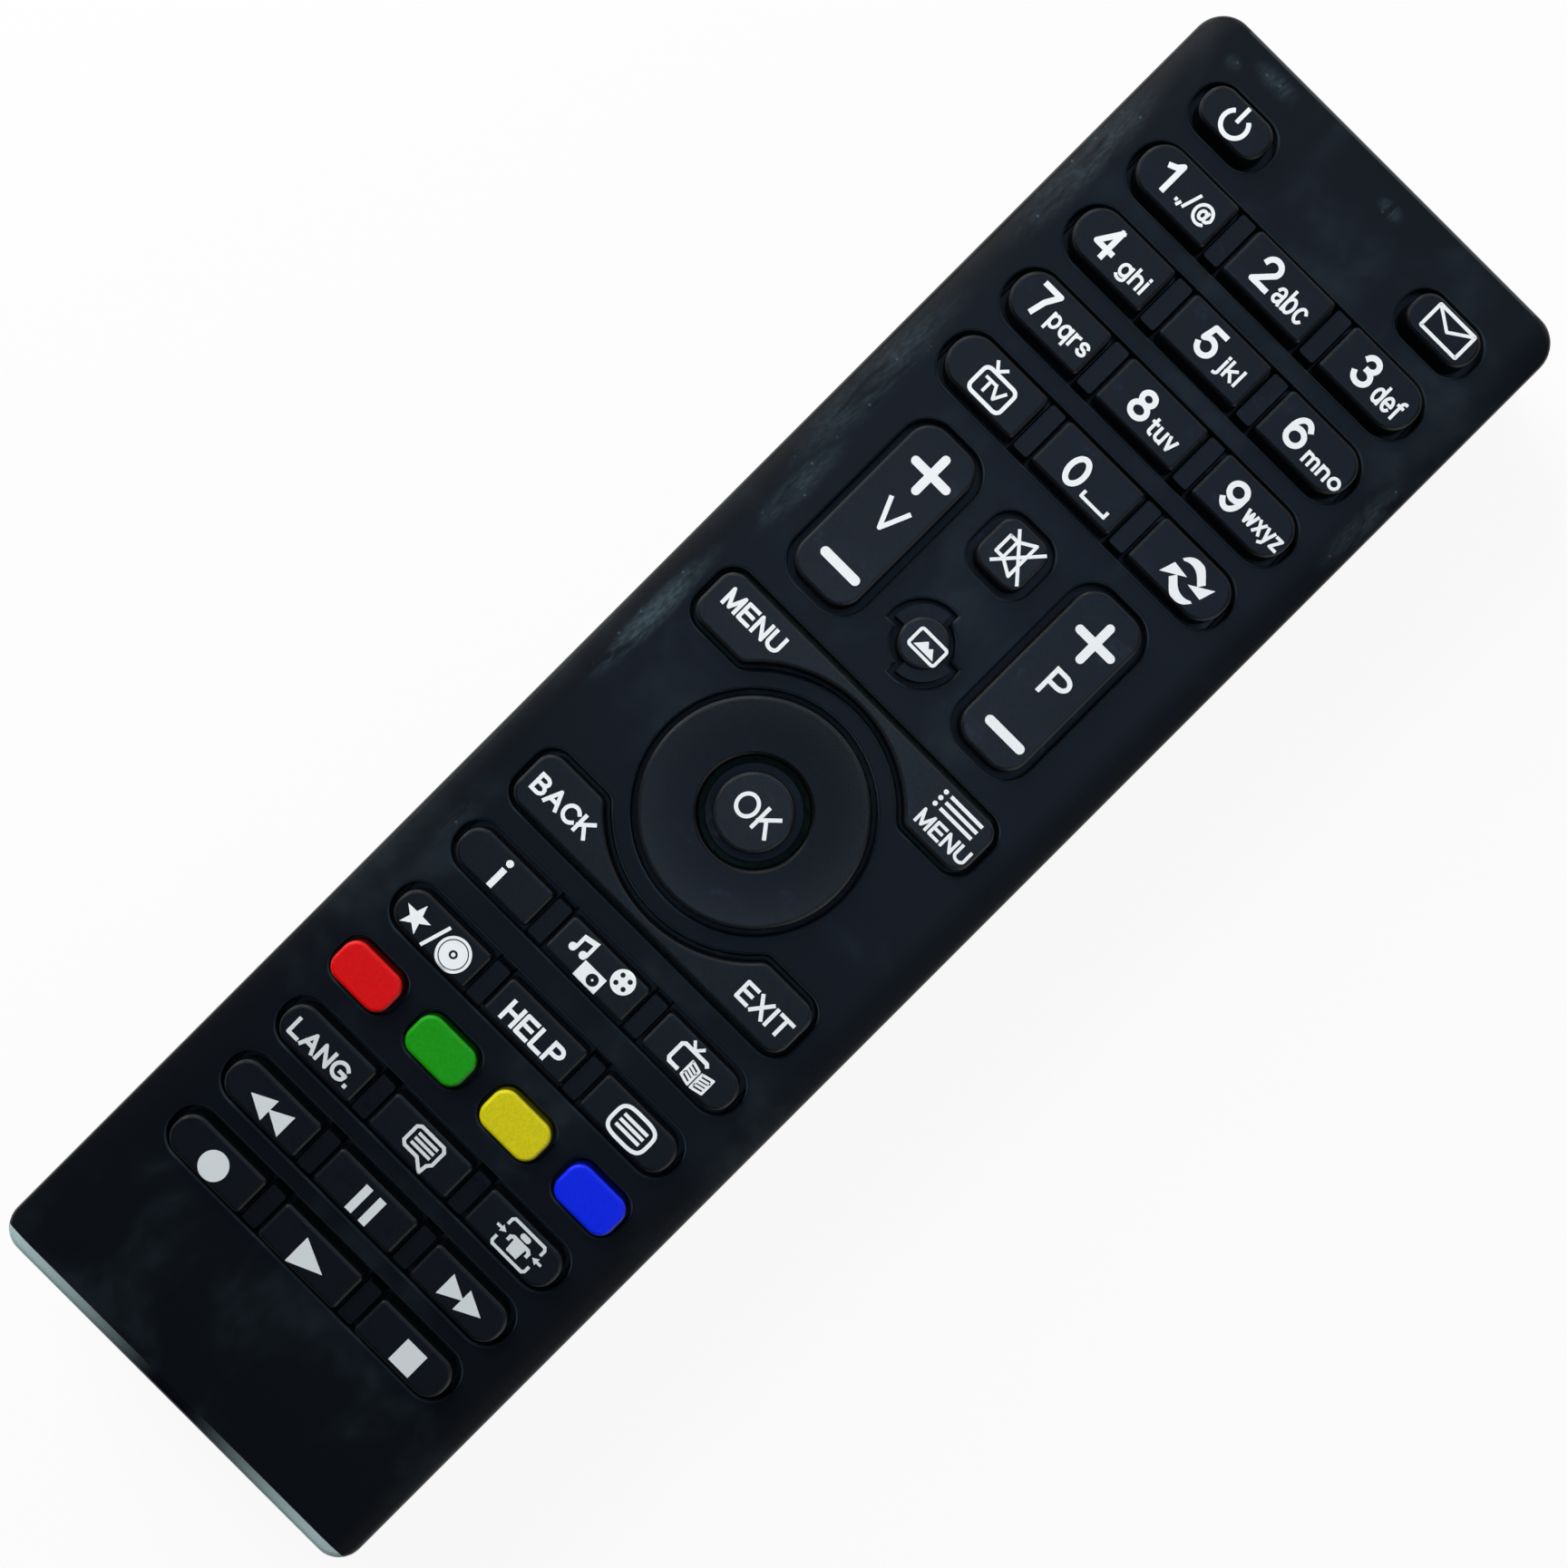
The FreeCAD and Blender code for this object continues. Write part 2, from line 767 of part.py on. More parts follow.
def add_catches(drawing, near, far, grow):
    """Three small oblongs along each long side."""
    for step in (-1, 0, 1):
        low = f"{step} * catch_pitch - catch_length / 2 - ({grow})"
        high = f"{step} * catch_pitch + catch_length / 2 + ({grow})"
        add_rectangle(drawing, near, far, low, high)
        add_rectangle(drawing, f"-({far})", f"-({near})", low, high)


def make_lower_form(name):
    """The outer form of the lower half of the case, rounded underneath."""
    body = new_body(name)
    drawing = Drawing(body, name + "_outline")
    add_case_outline(drawing)
    pad(body, drawing, "split_height", name + "_block")
    fillet(body, edges_at(body, 0.0), "underside_round", name + "_underside")
    return body


def add_cover_section(body, name, grow, low, high, half):
    """One layer of the room for the cover, from the tail to the cover's front edge."""
    drawing = Drawing(body, name + "_outline", low)
    add_rectangle(
        drawing,
        f"-({half} + ({grow}))",
        f"{half} + ({grow})",
        "-case_length / 2 - cut_over",
        f"cover_front + ({grow})",
    )
    return drawing, f"({high}) - ({low})"


def make_bottom_case():
    """The lower shell: the battery bay, posts for the board, the tongue and its catches."""
    body = make_lower_form("bottom_case")
    drawing = Drawing(body, "lower_cavity_outline", "split_height")
    add_case_outline(drawing, "side_wall")
    pocket(body, drawing, "split_height - floor_wall", "lower_cavity")
    fillet(body, edges_at(body, value("floor_wall")), "inside_round", "inside_edges")

    drawing = Drawing(body, "bay_block_outline", "floor_wall / 2")
    add_rectangle(
        drawing,
        "-bay_side - bay_wall",
        "bay_side + bay_wall",
        "-inner_end + tongue_gap",
        "bay_head + bay_wall",
    )
    pad(body, drawing, "bay_ceiling + bay_roof - floor_wall / 2", "bay_block")
    drawing = Drawing(body, "bay_outline")
    add_rectangle(drawing, "-bay_side", "bay_side", "bay_tail", "bay_head")
    pocket(body, drawing, "bay_ceiling", "bay", upward=True)

    for layer, low, high, half in (
        ("cover_room", "0", "cover_lip", "cover_width / 2"),
        ("rail_room", "cover_lip", "floor_wall", "cover_width / 2 + cover_rail"),
    ):
        drawing, depth = add_cover_section(body, layer, "cover_gap", low, high, half)
        pocket(body, drawing, depth, layer, upward=True)
    drawing = Drawing(body, "end_room_outline")
    add_rectangle(
        drawing,
        "-(cover_width / 2 + cover_gap)",
        "cover_width / 2 + cover_gap",
        "-case_length / 2 - cut_over",
        "-case_length / 2 + cover_end_wall + cover_gap",
    )
    pocket(body, drawing, "cover_end_height + cover_gap", "end_room", upward=True)

    drawing = Drawing(body, "leg_slots_outline", "bay_ceiling - cut_over")
    for x in LEG_PLACES:
        add_rectangle(
            drawing,
            f"{x} - leg_width / 2 - leg_gap",
            f"{x} + leg_width / 2 + leg_gap",
            "bay_head - contact_sheet - 2 * leg_gap",
            "bay_head",
        )
    pocket(body, drawing, "bay_roof + 2 * cut_over", "leg_slots", upward=True)

    drawing = Drawing(body, "tongue_outline", "split_height - floor_wall")
    add_case_outline(drawing, "side_wall + tongue_gap")
    add_case_outline(drawing, "side_wall + tongue_gap + tongue_wall")
    pad(body, drawing, "tongue_height + floor_wall", "tongue")
    drawing = Drawing(body, "window_notch_outline", "split_height")
    half = "window_width / 2 + window_edge + window_room"
    near = "inner_end - tongue_gap - tongue_wall - window_room"
    add_rectangle(drawing, f"-({half})", half, near, "inner_end + window_room")
    pocket(body, drawing, "tongue_height + cut_over", "window_notch", upward=True)

    drawing = Drawing(body, "catches_outline", "split_height + catch_lift")
    near = "inner_side - tongue_gap - tongue_wall / 2"
    add_catches(drawing, near, "inner_side - tongue_gap + catch_reach", "0")
    pad(body, drawing, "catch_height", "catches")

    drawing = Drawing(body, "posts_outline", "floor_wall / 2")
    for side in ("-", ""):
        for step in range(3):
            y = f"post_first + {step} * post_pitch"
            add_circle(drawing, side + "post_apart / 2", y, "post_diameter / 2")
    pad(body, drawing, "board_low - seat_gap - floor_wall / 2", "posts")
    return body


def part_box(name, left, right, front, back, low, high):
    """A plain block between six expressions."""
    block = doc.addObject("Part::Box", name)
    block.setExpression("Length", tied(f"({right}) - ({left})"))
    block.setExpression("Width", tied(f"({back}) - ({front})"))
    block.setExpression("Height", tied(f"({high}) - ({low})"))
    block.setExpression("Placement.Base.x", tied(left))
    block.setExpression("Placement.Base.y", tied(front))
    block.setExpression("Placement.Base.z", tied(low))
    return block


def joined(kind, name, shapes):
    """Several objects made one: fused together, what they share, or kept side by side."""
    result = doc.addObject(kind, name)
    if kind == "Part::Compound":
        result.Links = shapes
    else:
        result.Shapes = shapes
    return result


def make_battery_cover():
    """The cover: the part of the lower form that slides off, with a rail along each side."""
    form = make_lower_form("cover_form")
    tail = "-case_length / 2 - cut_over"
    plate = part_box(
        "cover_plate",
        "-cover_width / 2",
        "cover_width / 2",
        tail,
        "cover_front",
        "0",
        "cover_high",
    )
    rails = part_box(
        "cover_rails",
        "-(cover_width / 2 + cover_rail)",
        "cover_width / 2 + cover_rail",
        tail,
        "cover_front",
        "cover_lip + cover_gap",
        "cover_high",
    )
    end = part_box(
        "cover_end",
        "-cover_width / 2",
        "cover_width / 2",
        tail,
        "-case_length / 2 + cover_end_wall",
        "0",
        "cover_end_height",
    )
    room = joined("Part::MultiFuse", "cover_layers", [plate, rails, end])
    whole = joined("Part::MultiCommon", "cover_whole", [form, room])
    grooves = []
    for step in range(GRIP_GROOVES):
        middle = f"cover_front - grip_first - {step} * grip_pitch"
        groove = part_box(
            f"grip_groove_{step}",
            "-grip_width / 2",
            "grip_width / 2",
            f"{middle} - grip_pitch / 4",
            f"{middle} + grip_pitch / 4",
            "-cut_over",
            "grip_depth",
        )
        grooves.append(groove)
    cover = doc.addObject("Part::Cut", "battery_cover")
    cover.Base = whole
    cover.Tool = joined("Part::MultiFuse", "grip_grooves", grooves)
    return cover


def make_key(name, outline, foot, pills, foot_height="foot_height"):
    """A rubber key on its foot, with its pills. It is drawn about its own middle."""
    body = new_body(name + "_rubber")
    drawing = Drawing(body, name + "_outline", "key_foot")
    outline(drawing)
    pad(body, drawing, "key_high - key_foot", name + "_cap")
    fillet(body, edges_at(body, value("key_high")), "key_round", name + "_top_edge")
    drawing = Drawing(body, name + "_foot_outline", "key_foot")
    foot(drawing)
    pad(body, drawing, foot_height, name + "_foot")
    return joined("Part::Compound", name, [body] + make_pills(name, pills))


def make_pills(name, places):
    """The carbon pills under a key, drawn about the key's middle."""
    made = []
    for number, (x, y) in enumerate(places, start=1):
        pill = doc.addObject("Part::Cylinder", f"{name}_pill_{number}")
        pill.setExpression("Radius", tied("pill_diameter / 2"))
        pill.setExpression("Height", tied("pill_thickness"))
        pill.setExpression("Placement.Base.x", tied(x))
        pill.setExpression("Placement.Base.y", tied(y))
        pill.setExpression("Placement.Base.z", tied("key_foot - pill_thickness"))
        made.append(pill)
    return made


def put(node, x, y):
    """Places a node by two expressions."""
    node.setExpression("Placement.Base.x", tied(x))
    node.setExpression("Placement.Base.y", tied(y))
    return node


def add_foot(drawing, x, y, width, depth, side, reach, grow):
    """A key's foot, or with grow the hole for it in the sheet."""
    add_rounded(
        drawing,
        f"({x}) - (({width}) / 2 + {side} + {grow})",
        f"({x}) + (({width}) / 2 + {side} + {grow})",
        f"({y}) - (({depth}) / 2 + {reach} + {grow})",
        f"({y}) + (({depth}) / 2 + {reach} + {grow})",
        [f"key_edge + {grow}"] * 4,
    )


FEET = {
    "digit": ("key_width", "digit_depth", "foot_side", "foot_reach"),
    "lower": ("key_width", "lower_depth", "foot_side", "foot_reach"),
    "corner": ("corner_key_width", "corner_key_depth", "foot_reach", "foot_reach"),
    "rocker": ("rocker_width", "rocker_depth", "foot_reach", "foot_reach"),
    "mute": ("mute_width", "mute_width", "foot_reach", "foot_reach"),
    "colour": ("colour_width", "colour_depth", "foot_reach", "foot_reach"),
}
MIDDLE = [("0", "0")]


def row_key(name, kind, side, x, y):
    """A key of a row of three."""
    depth = kind + "_depth"
    key = make_key(
        name,
        lambda drawing: add_row_key(drawing, side, depth),
        lambda drawing: add_foot(drawing, "0", "0", *FEET[kind], "0"),
        MIDDLE,
    )
    return put(key, x, y)


def plain_key(name, kind, radius, x, y, pills=MIDDLE, foot_height="foot_height"):
    """A key with four like corners."""
    width, depth = FEET[kind][:2]
    key = make_key(
        name,
        lambda drawing: add_pad_outline(drawing, "0", "0", width, depth, radius),
        lambda drawing: add_foot(drawing, "0", "0", *FEET[kind], "0"),
        pills,
        foot_height,
    )
    return put(key, x, y)


def make_row_keys():
    """The twelve keys at the top and the fifteen below the ring."""
    names = {
        "digit": [
            ("key_tv", "key_0", "key_swap"),
            ("key_7", "key_8", "key_9"),
            ("key_4", "key_5", "key_6"),
            ("key_1", "key_2", "key_3"),
        ],
        "lower": [
            ("key_info", "key_media", "key_guide"),
            ("key_favourites", "key_help", "key_text"),
            ("key_language", "key_subtitle", "key_size"),
            ("key_rewind", "key_pause", "key_forward"),
            ("key_record", "key_play", "key_stop"),
        ],
    }
    made = []
    for kind, rows in (("digit", DIGIT_ROWS), ("lower", LOWER_ROWS)):
        for y, row_names in zip(rows, names[kind]):
            for name, (side, x) in zip(row_names, COLUMNS.items()):
                made.append(row_key(name, kind, side, x, y))
    return made


def make_plain_keys():
    """The two short keys, the rockers, mute and the four colours."""
    made = []
    for name, side in (("key_power", "-"), ("key_message", "")):
        x = side + "corner_key_apart / 2"
        made.append(plain_key(name, "corner", "corner_key_round", x, "corner_key_row"))
    far = "rocker_depth / 2 - pill_diameter"
    for name, side in (("volume_rocker", "-"), ("programme_rocker", "")):
        pills = [("0", far), ("0", f"-({far})")]
        x = side + "rocker_apart / 2"
        rocker = plain_key(name, "rocker", "rocker_round", x, "rocker_row", pills, "rocker_foot")
        made.append(rocker)
    made.append(plain_key("key_mute", "mute", "mute_round", "0", "mute_row"))
    colours = ("key_red", "key_green", "key_yellow", "key_blue")
    for name, x in zip(colours, COLOUR_PLACES):
        made.append(plain_key(name, "colour", "colour_round", x, "colour_row"))
    return made


def make_picture_key():
    """The round key: a disc with two wings that lie lower."""
    body = new_body("key_picture_rubber")
    drawing = Drawing(body, "picture_wings_outline", "key_foot")
    add_pinwheel(drawing, "0", "0", "0")
    pad(body, drawing, "key_high - wing_drop - key_foot", "picture_wings")
    drawing = Drawing(body, "picture_disc_outline", "key_foot")
    add_circle(drawing, "0", "0", "picture_radius")
    pad(body, drawing, "key_high - key_foot", "picture_disc")
    fillet(body, edges_at(body, value("key_high")), "key_round", "picture_top_edge")
    drawing = Drawing(body, "picture_foot_outline", "key_foot")
    add_circle(drawing, "0", "0", "wing_radius + foot_reach")
    pad(body, drawing, "foot_height", "picture_foot")
    key = joined("Part::Compound", "key_picture", [body] + make_pills("key_picture", MIDDLE))
    return put(key, "0", "picture_row")


def make_bar(name, turned):
    """A bar beside the ring, pressed at either end. The back bar is the menu bar turned round."""
    far = "bar_width / 2 - bar_pill_inset"
    row = "(bar_near + bar_far) / 2"
    bar = make_key(
        name,
        lambda drawing: add_bar(drawing, 1, "0", "0"),
        lambda drawing: add_bar(drawing, 1, "0", "bar_foot"),
        [(far, row), (f"-({far})", row)],
        "rocker_foot",
    )
    if turned:
        bar.Placement = FreeCAD.Placement(
            FreeCAD.Vector(), FreeCAD.Rotation(FreeCAD.Vector(0, 0, 1), 180)
        )
    return put(bar, "0", "ring_row")


def make_ring():
    """The navigation ring: turned about Z, with a hollow top."""
    body = new_body("ring_rubber")
    drawing = Drawing(body, "ring_section", "0", "XZ_Plane")
    outer, inner = value("ring_radius"), value("ring_bore")
    low, high, sunk = value("key_foot"), value("key_high"), value("key_high - ring_sink")
    dish = value("ring_dish")
    chord = math.hypot(outer - inner, high - sunk)
    lean = math.atan2(high - sunk, outer - inner)
    rise = math.sqrt(dish**2 - (chord / 2) ** 2)
    centre_x = (outer + inner) / 2 - rise * math.sin(lean)
    centre_y = (high + sunk) / 2 + rise * math.cos(lean)

    def spot(x, y):
        return FreeCAD.Vector(x, y, 0)

    bottom = drawing.line(spot(inner, low), spot(outer, low))
    outside = drawing.line(spot(outer, low), spot(outer, high))
    inside = drawing.line(spot(inner, sunk), spot(inner, low))
    start = math.degrees(math.atan2(sunk - centre_y, inner - centre_x))
    end = math.degrees(math.atan2(high - centre_y, outer - centre_x))
    top = drawing.arc(spot(centre_x, centre_y), dish, start, end)
    drawing.rule("Coincident", bottom, 2, outside, 1)
    drawing.rule("Coincident", outside, 2, top, 2)
    drawing.rule("Coincident", top, 1, inside, 1)
    drawing.rule("Coincident", inside, 2, bottom, 1)
    drawing.place(bottom, 1, "ring_bore", "key_foot")
    drawing.place(bottom, 2, "ring_radius", "key_foot")
    drawing.place(outside, 2, "ring_radius", "key_high")
    drawing.place(inside, 1, "ring_bore", "key_high - ring_sink")
    drawing.bind("Radius", top, to="ring_dish")
    turned = body.newObject("PartDesign::Revolution", "ring_turned")
    turned.Profile = drawing.finished()
    turned.ReferenceAxis = (origin_feature(body, "Z_Axis"), [""])
    turned.Angle = 360
    doc.recompute()
    names = edges_at(body, value("key_high")) + edges_at(body, value("key_high - ring_sink"))
    fillet(body, names, "ring_round", "ring_top_edges")
    reach = "(ring_radius + web_outer) / 2"
    places = [(reach, "0"), ("0", reach), (f"-({reach})", "0"), ("0", f"-({reach})")]
    ring = joined("Part::Compound", "nav_ring", [body] + make_pills("nav_ring", places))
    return put(ring, "0", "ring_row")


def make_ok_key():
    key = make_key(
        "key_ok",
        lambda drawing: add_circle(drawing, "0", "0", "ok_radius"),
        lambda drawing: add_circle(drawing, "0", "0", "ok_radius + ok_foot"),
        MIDDLE,
        "rocker_foot",
    )
    return put(key, "0", "ring_row")


def make_ring_web():
    """The thin rubber collar that carries the ring and lets it tilt."""
    body = new_body("nav_ring_web")
    drawing = Drawing(body, "web_outline", "key_foot - web_gap - web_thickness")
    add_circle(drawing, "0", "0", "web_outer")
    add_circle(drawing, "0", "0", "web_inner")
    pad(body, drawing, "web_thickness", "web_collar")
    return put(body, "0", "ring_row")


def repeat_digit_rows(body, feature, name):
    """Repeats a feature of the first digit row in the rows above it."""
    doc.recompute()
    rows = body.newObject("PartDesign::LinearPattern", name)
    rows.Originals = [feature]
    rows.Direction = (origin_feature(body, "Y_Axis"), [""])
    rows.Mode = "Spacing"
    rows.setExpression("Offset", tied("digit_pitch"))
    rows.Occurrences = len(DIGIT_ROWS)
    body.Tip = rows
    doc.recompute()


def cut_row_holes(body, name, kind, y):
    """The holes for the feet of a row of three."""
    drawing = Drawing(body, name + "_outline", "sheet_high")
    for x in COLUMNS.values():
        add_foot(drawing, x, y, *FEET[kind], "foot_gap")
    return pocket(body, drawing, "sheet_thickness", name)


def raise_row_bridges(body, name, kind, y):
    """The two low islands between the keys of a row of three."""
    drawing = Drawing(body, name + "_outline", "sheet_high")
    for side in ("-", ""):
        x = side + "column_pitch / 2"
        add_pad_outline(drawing, x, y, "bridge_width", kind + "_depth", "slot_round")
    return pad(body, drawing, "key_high - bridge_drop - sheet_high", name)


def make_membrane():
    """The rubber sheet under the keys, with a hole for each foot and the bridges between keys."""
    body = new_body("keypad_membrane")
    drawing = Drawing(body, "sheet_outline", "sheet_low")
    add_rectangle(
        drawing,
        "-inner_side + sheet_side",
        "inner_side - sheet_side",
        "sheet_tail",
        "inner_end - sheet_head",
    )
    pad(body, drawing, "sheet_thickness", "sheet")

    holes = cut_row_holes(body, "digit_holes", "digit", DIGIT_ROWS[0])
    repeat_digit_rows(body, holes, "digit_hole_rows")
    for y in LOWER_ROWS:
        cut_row_holes(body, y + "_holes", "lower", y)

    drawing = Drawing(body, "upper_holes_outline", "sheet_high")
    for side in ("-", ""):
        x = side + "corner_key_apart / 2"
        add_foot(drawing, x, "corner_key_row", *FEET["corner"], "foot_gap")
        x = side + "rocker_apart / 2"
        add_foot(drawing, x, "rocker_row", *FEET["rocker"], "foot_gap")
    add_foot(drawing, "0", "mute_row", *FEET["mute"], "foot_gap")
    pocket(body, drawing, "sheet_thickness", "upper_holes")

    drawing = Drawing(body, "colour_holes_outline", "sheet_high")
    for x in COLOUR_PLACES:
        add_foot(drawing, x, "colour_row", *FEET["colour"], "foot_gap")
    pocket(body, drawing, "sheet_thickness", "colour_holes")

    drawing = Drawing(body, "round_holes_outline", "sheet_high")
    add_circle(drawing, "0", "picture_row", "wing_radius + foot_reach + foot_gap")
    add_circle(drawing, "0", "ring_row", "ring_radius + foot_gap")
    for x, y in PINS:
        add_circle(drawing, x, y, "pin_diameter / 2 + pin_gap")
    pocket(body, drawing, "sheet_thickness", "round_holes")

    drawing = Drawing(body, "bar_holes_outline", "sheet_high")
    for flip in (1, -1):
        add_bar(drawing, flip, "ring_row", "bar_foot + foot_gap")
    pocket(body, drawing, "sheet_thickness", "bar_holes")

    bridges = raise_row_bridges(body, "digit_bridges", "digit", DIGIT_ROWS[0])
    repeat_digit_rows(body, bridges, "digit_bridge_rows")
    for y in LOWER_ROWS:
        raise_row_bridges(body, y + "_bridges", "lower", y)
    return body


def make_board():
    """The circuit board, with holes for the pins, the lamp's leads and the contacts' legs."""
    body = new_body("circuit_board")
    drawing = Drawing(body, "board_outline", "board_low")
    add_rounded(
        drawing,
        "-inner_side + board_side",
        "inner_side - board_side",
        "board_tail",
        "inner_end - board_head",
        ["board_corner"] * 4,
    )
    pad(body, drawing, "board_thickness", "board")
    drawing = Drawing(body, "board_holes_outline", "board_high")
    for x, y in PINS:
        add_circle(drawing, x, y, "pin_diameter / 2 + pin_gap")
    for x in LEADS:
        add_circle(drawing, x, LEAD_ROW, "lead_size / 2 + lead_hole_gap")
    pocket(body, drawing, "board_thickness", "board_holes")
    drawing = Drawing(body, "leg_holes_outline", "board_high")
    for x in LEG_PLACES:
        add_rectangle(
            drawing,
            f"{x} - leg_width / 2 - leg_gap",
            f"{x} + leg_width / 2 + leg_gap",
            f"{CONTACT_ROW} - leg_gap",
            f"{CONTACT_ROW} + contact_sheet + leg_gap",
        )
    pocket(body, drawing, "board_thickness", "leg_holes")
    return body


def make_cell(name, x, points_to_head):
    """A round cell, lying along Y, with its button at one end."""
    body = new_body(name)
    drawing = Drawing(body, name + "_round", "0", "XZ_Plane")
    add_circle(drawing, "0", "0", "cell_diameter / 2")
    pad(body, drawing, "cell_length - cell_button_height", name + "_can")
    ends = [f"Edge{n}" for n, e in enumerate(closed_edges(body), start=1) if e]
    fillet(body, ends, "cell_round", name + "_rims")
    drawing = Drawing(body, name + "_button_round", "-cell_button_height", "XZ_Plane")
    add_circle(drawing, "0", "0", "cell_button / 2")
    pad(body, drawing, "cell_button_height + cell_button_root", name + "_button")
    head = f"{CONTACT_ROW} - seat_gap - cell_button_height"
    tail = "bay_tail + 2 * seat_gap + contact_sheet + cell_button_height"
    turn = FreeCAD.Rotation(FreeCAD.Vector(0, 0, 1), 0 if points_to_head else 180)
    body.Placement = FreeCAD.Placement(FreeCAD.Vector(), turn)
    put(body, x, head if points_to_head else tail)
    body.setExpression("Placement.Base.z", tied("cell_axis"))
    return body


def closed_edges(body):
    """For each edge of the body, whether it is a whole circle."""
    doc.recompute()
    return [edge.Closed and hasattr(edge.Curve, "Radius") for edge in body.Tip.Shape.Edges]


def make_contact(name, middles, y, leg_at):
    """A sheet-metal contact standing across the end of the bay, with a leg up to the board."""
    body = new_body(name)
    drawing = Drawing(body, name + "_outline", "0", "XZ_Plane")
    low = "cell_axis - contact_depth / 2"
    high = "cell_axis + contact_depth / 2"
    left = f"{middles[0]} - contact_width / 2"
    right = f"{middles[-1]} + contact_width / 2"
    if leg_at is None:
        add_rectangle(drawing, left, right, low, high)
    else:
        top = "board_high - 2 * seat_gap"
        leg_left = f"{leg_at} - leg_width / 2"
        leg_right = f"{leg_at} + leg_width / 2"
        corners = [(left, low), (right, low), (right, high), (leg_right, high)]
        corners += [(leg_right, top), (leg_left, top), (leg_left, high), (left, high)]
        add_chain(drawing, corners)
    plate = pad(body, drawing, "contact_sheet", name + "_plate")
    plate.Reversed = True
    return put(body, "0", y)


def biarc(start, start_way, end, end_way):
    """Two arcs that leave and arrive along given directions, with equal tangent lengths."""
    gap = end - start
    ways = start_way + end_way
    a = 2 * (1 - start_way.dot(end_way))
    b = 2 * gap.dot(ways)
    reach = (-b + math.sqrt(b * b + 4 * a * gap.dot(gap))) / (2 * a)
    middle = (start + start_way * reach + end - end_way * reach) * 0.5
    arcs = []
    for first, way, last, sign in ((start, start_way, middle, 1), (end, end_way, middle, -1)):
        chord = last - first
        tangent = way * sign
        normal = chord - tangent * chord.dot(tangent)
        normal.normalize()
        radius = chord.dot(chord) / (2 * chord.dot(normal))
        centre = first + normal * radius
        half = (first + last) * 0.5 - centre
        half.normalize()
        through = centre + half * radius
        pair = (first, last) if sign > 0 else (last, first)
        arcs.append(Part.Arc(pair[0], through, pair[1]).toShape())
    return arcs


def spring_point(turn, turns):
    """A point and a direction on a spiral that climbs at a steady rate and narrows as it climbs."""
    wide, narrow = value("spring_wide / 2"), value("spring_narrow / 2")
    wire = value("spring_wire")
    run = value("spring_length") - wire
    share = turn / turns
    angle = 2 * math.pi * turn
    radius = wide + (narrow - wide) * share
    slope = (narrow - wide) / turns / (2 * math.pi)
    place = FreeCAD.Vector(radius * math.cos(angle), radius * math.sin(angle), run * share)
    way = FreeCAD.Vector(
        slope * math.cos(angle) - radius * math.sin(angle),
        slope * math.sin(angle) + radius * math.cos(angle),
        run / turns / (2 * math.pi),
    )
    way.normalize()
    return place, way


def make_spring():
    """One coil spring, standing on its wide end."""
    turns = value("spring_turns")
    steps = int(turns * QUARTERS)
    points = [spring_point(step / QUARTERS, turns) for step in range(steps + 1)]
    edges = []
    for (start, way), (end, end_way) in zip(points, points[1:]):
        edges += biarc(start, way, end, end_way)
    path = Part.Wire(edges)
    first, first_way = points[0]
    ring = Part.Circle(first, first_way, value("spring_wire / 2")).toShape()
    shell = Part.BRepOffsetAPI.MakePipeShell(path)
    shell.add(Part.Wire([ring]), False, False)
    shell.build()
    shell.makeSolid()
    solid = shell.shape()
    gap = value("spring_length - spring_wire") / turns - value("spring_wire")
    length = path.Length
    area = math.pi * value("spring_wire / 2") ** 2
    if gap < 0 or abs(solid.Volume / (area * length) - 1) > NEAR:
        raise ValueError("the spring's coils don't clear each other or its wire isn't whole")
    return solid


def make_springs():
    """Two like springs: one on the bridge, one on the negative contact."""
    single = make_spring()
    lift = value("spring_wire / 2")
    along = FreeCAD.Rotation(FreeCAD.Vector(1, 0, 0), -90)
    back = FreeCAD.Rotation(FreeCAD.Vector(1, 0, 0), 90)
    tail = value("bay_tail + 2 * seat_gap + contact_sheet") + lift
    head = value(f"{CONTACT_ROW} - seat_gap") - lift
    shapes = []
    for x, y, turn in (("-cell_apart / 2", tail, along), ("cell_apart / 2", head, back)):
        spring = single.copy()
        spring.Placement = FreeCAD.Placement(
            FreeCAD.Vector(value(x), y, value("cell_axis")), turn
        )
        shapes.append(spring)
    springs = doc.addObject("Part::Feature", "contact_springs")
    springs.Shape = Part.makeCompound(shapes)
    return springs


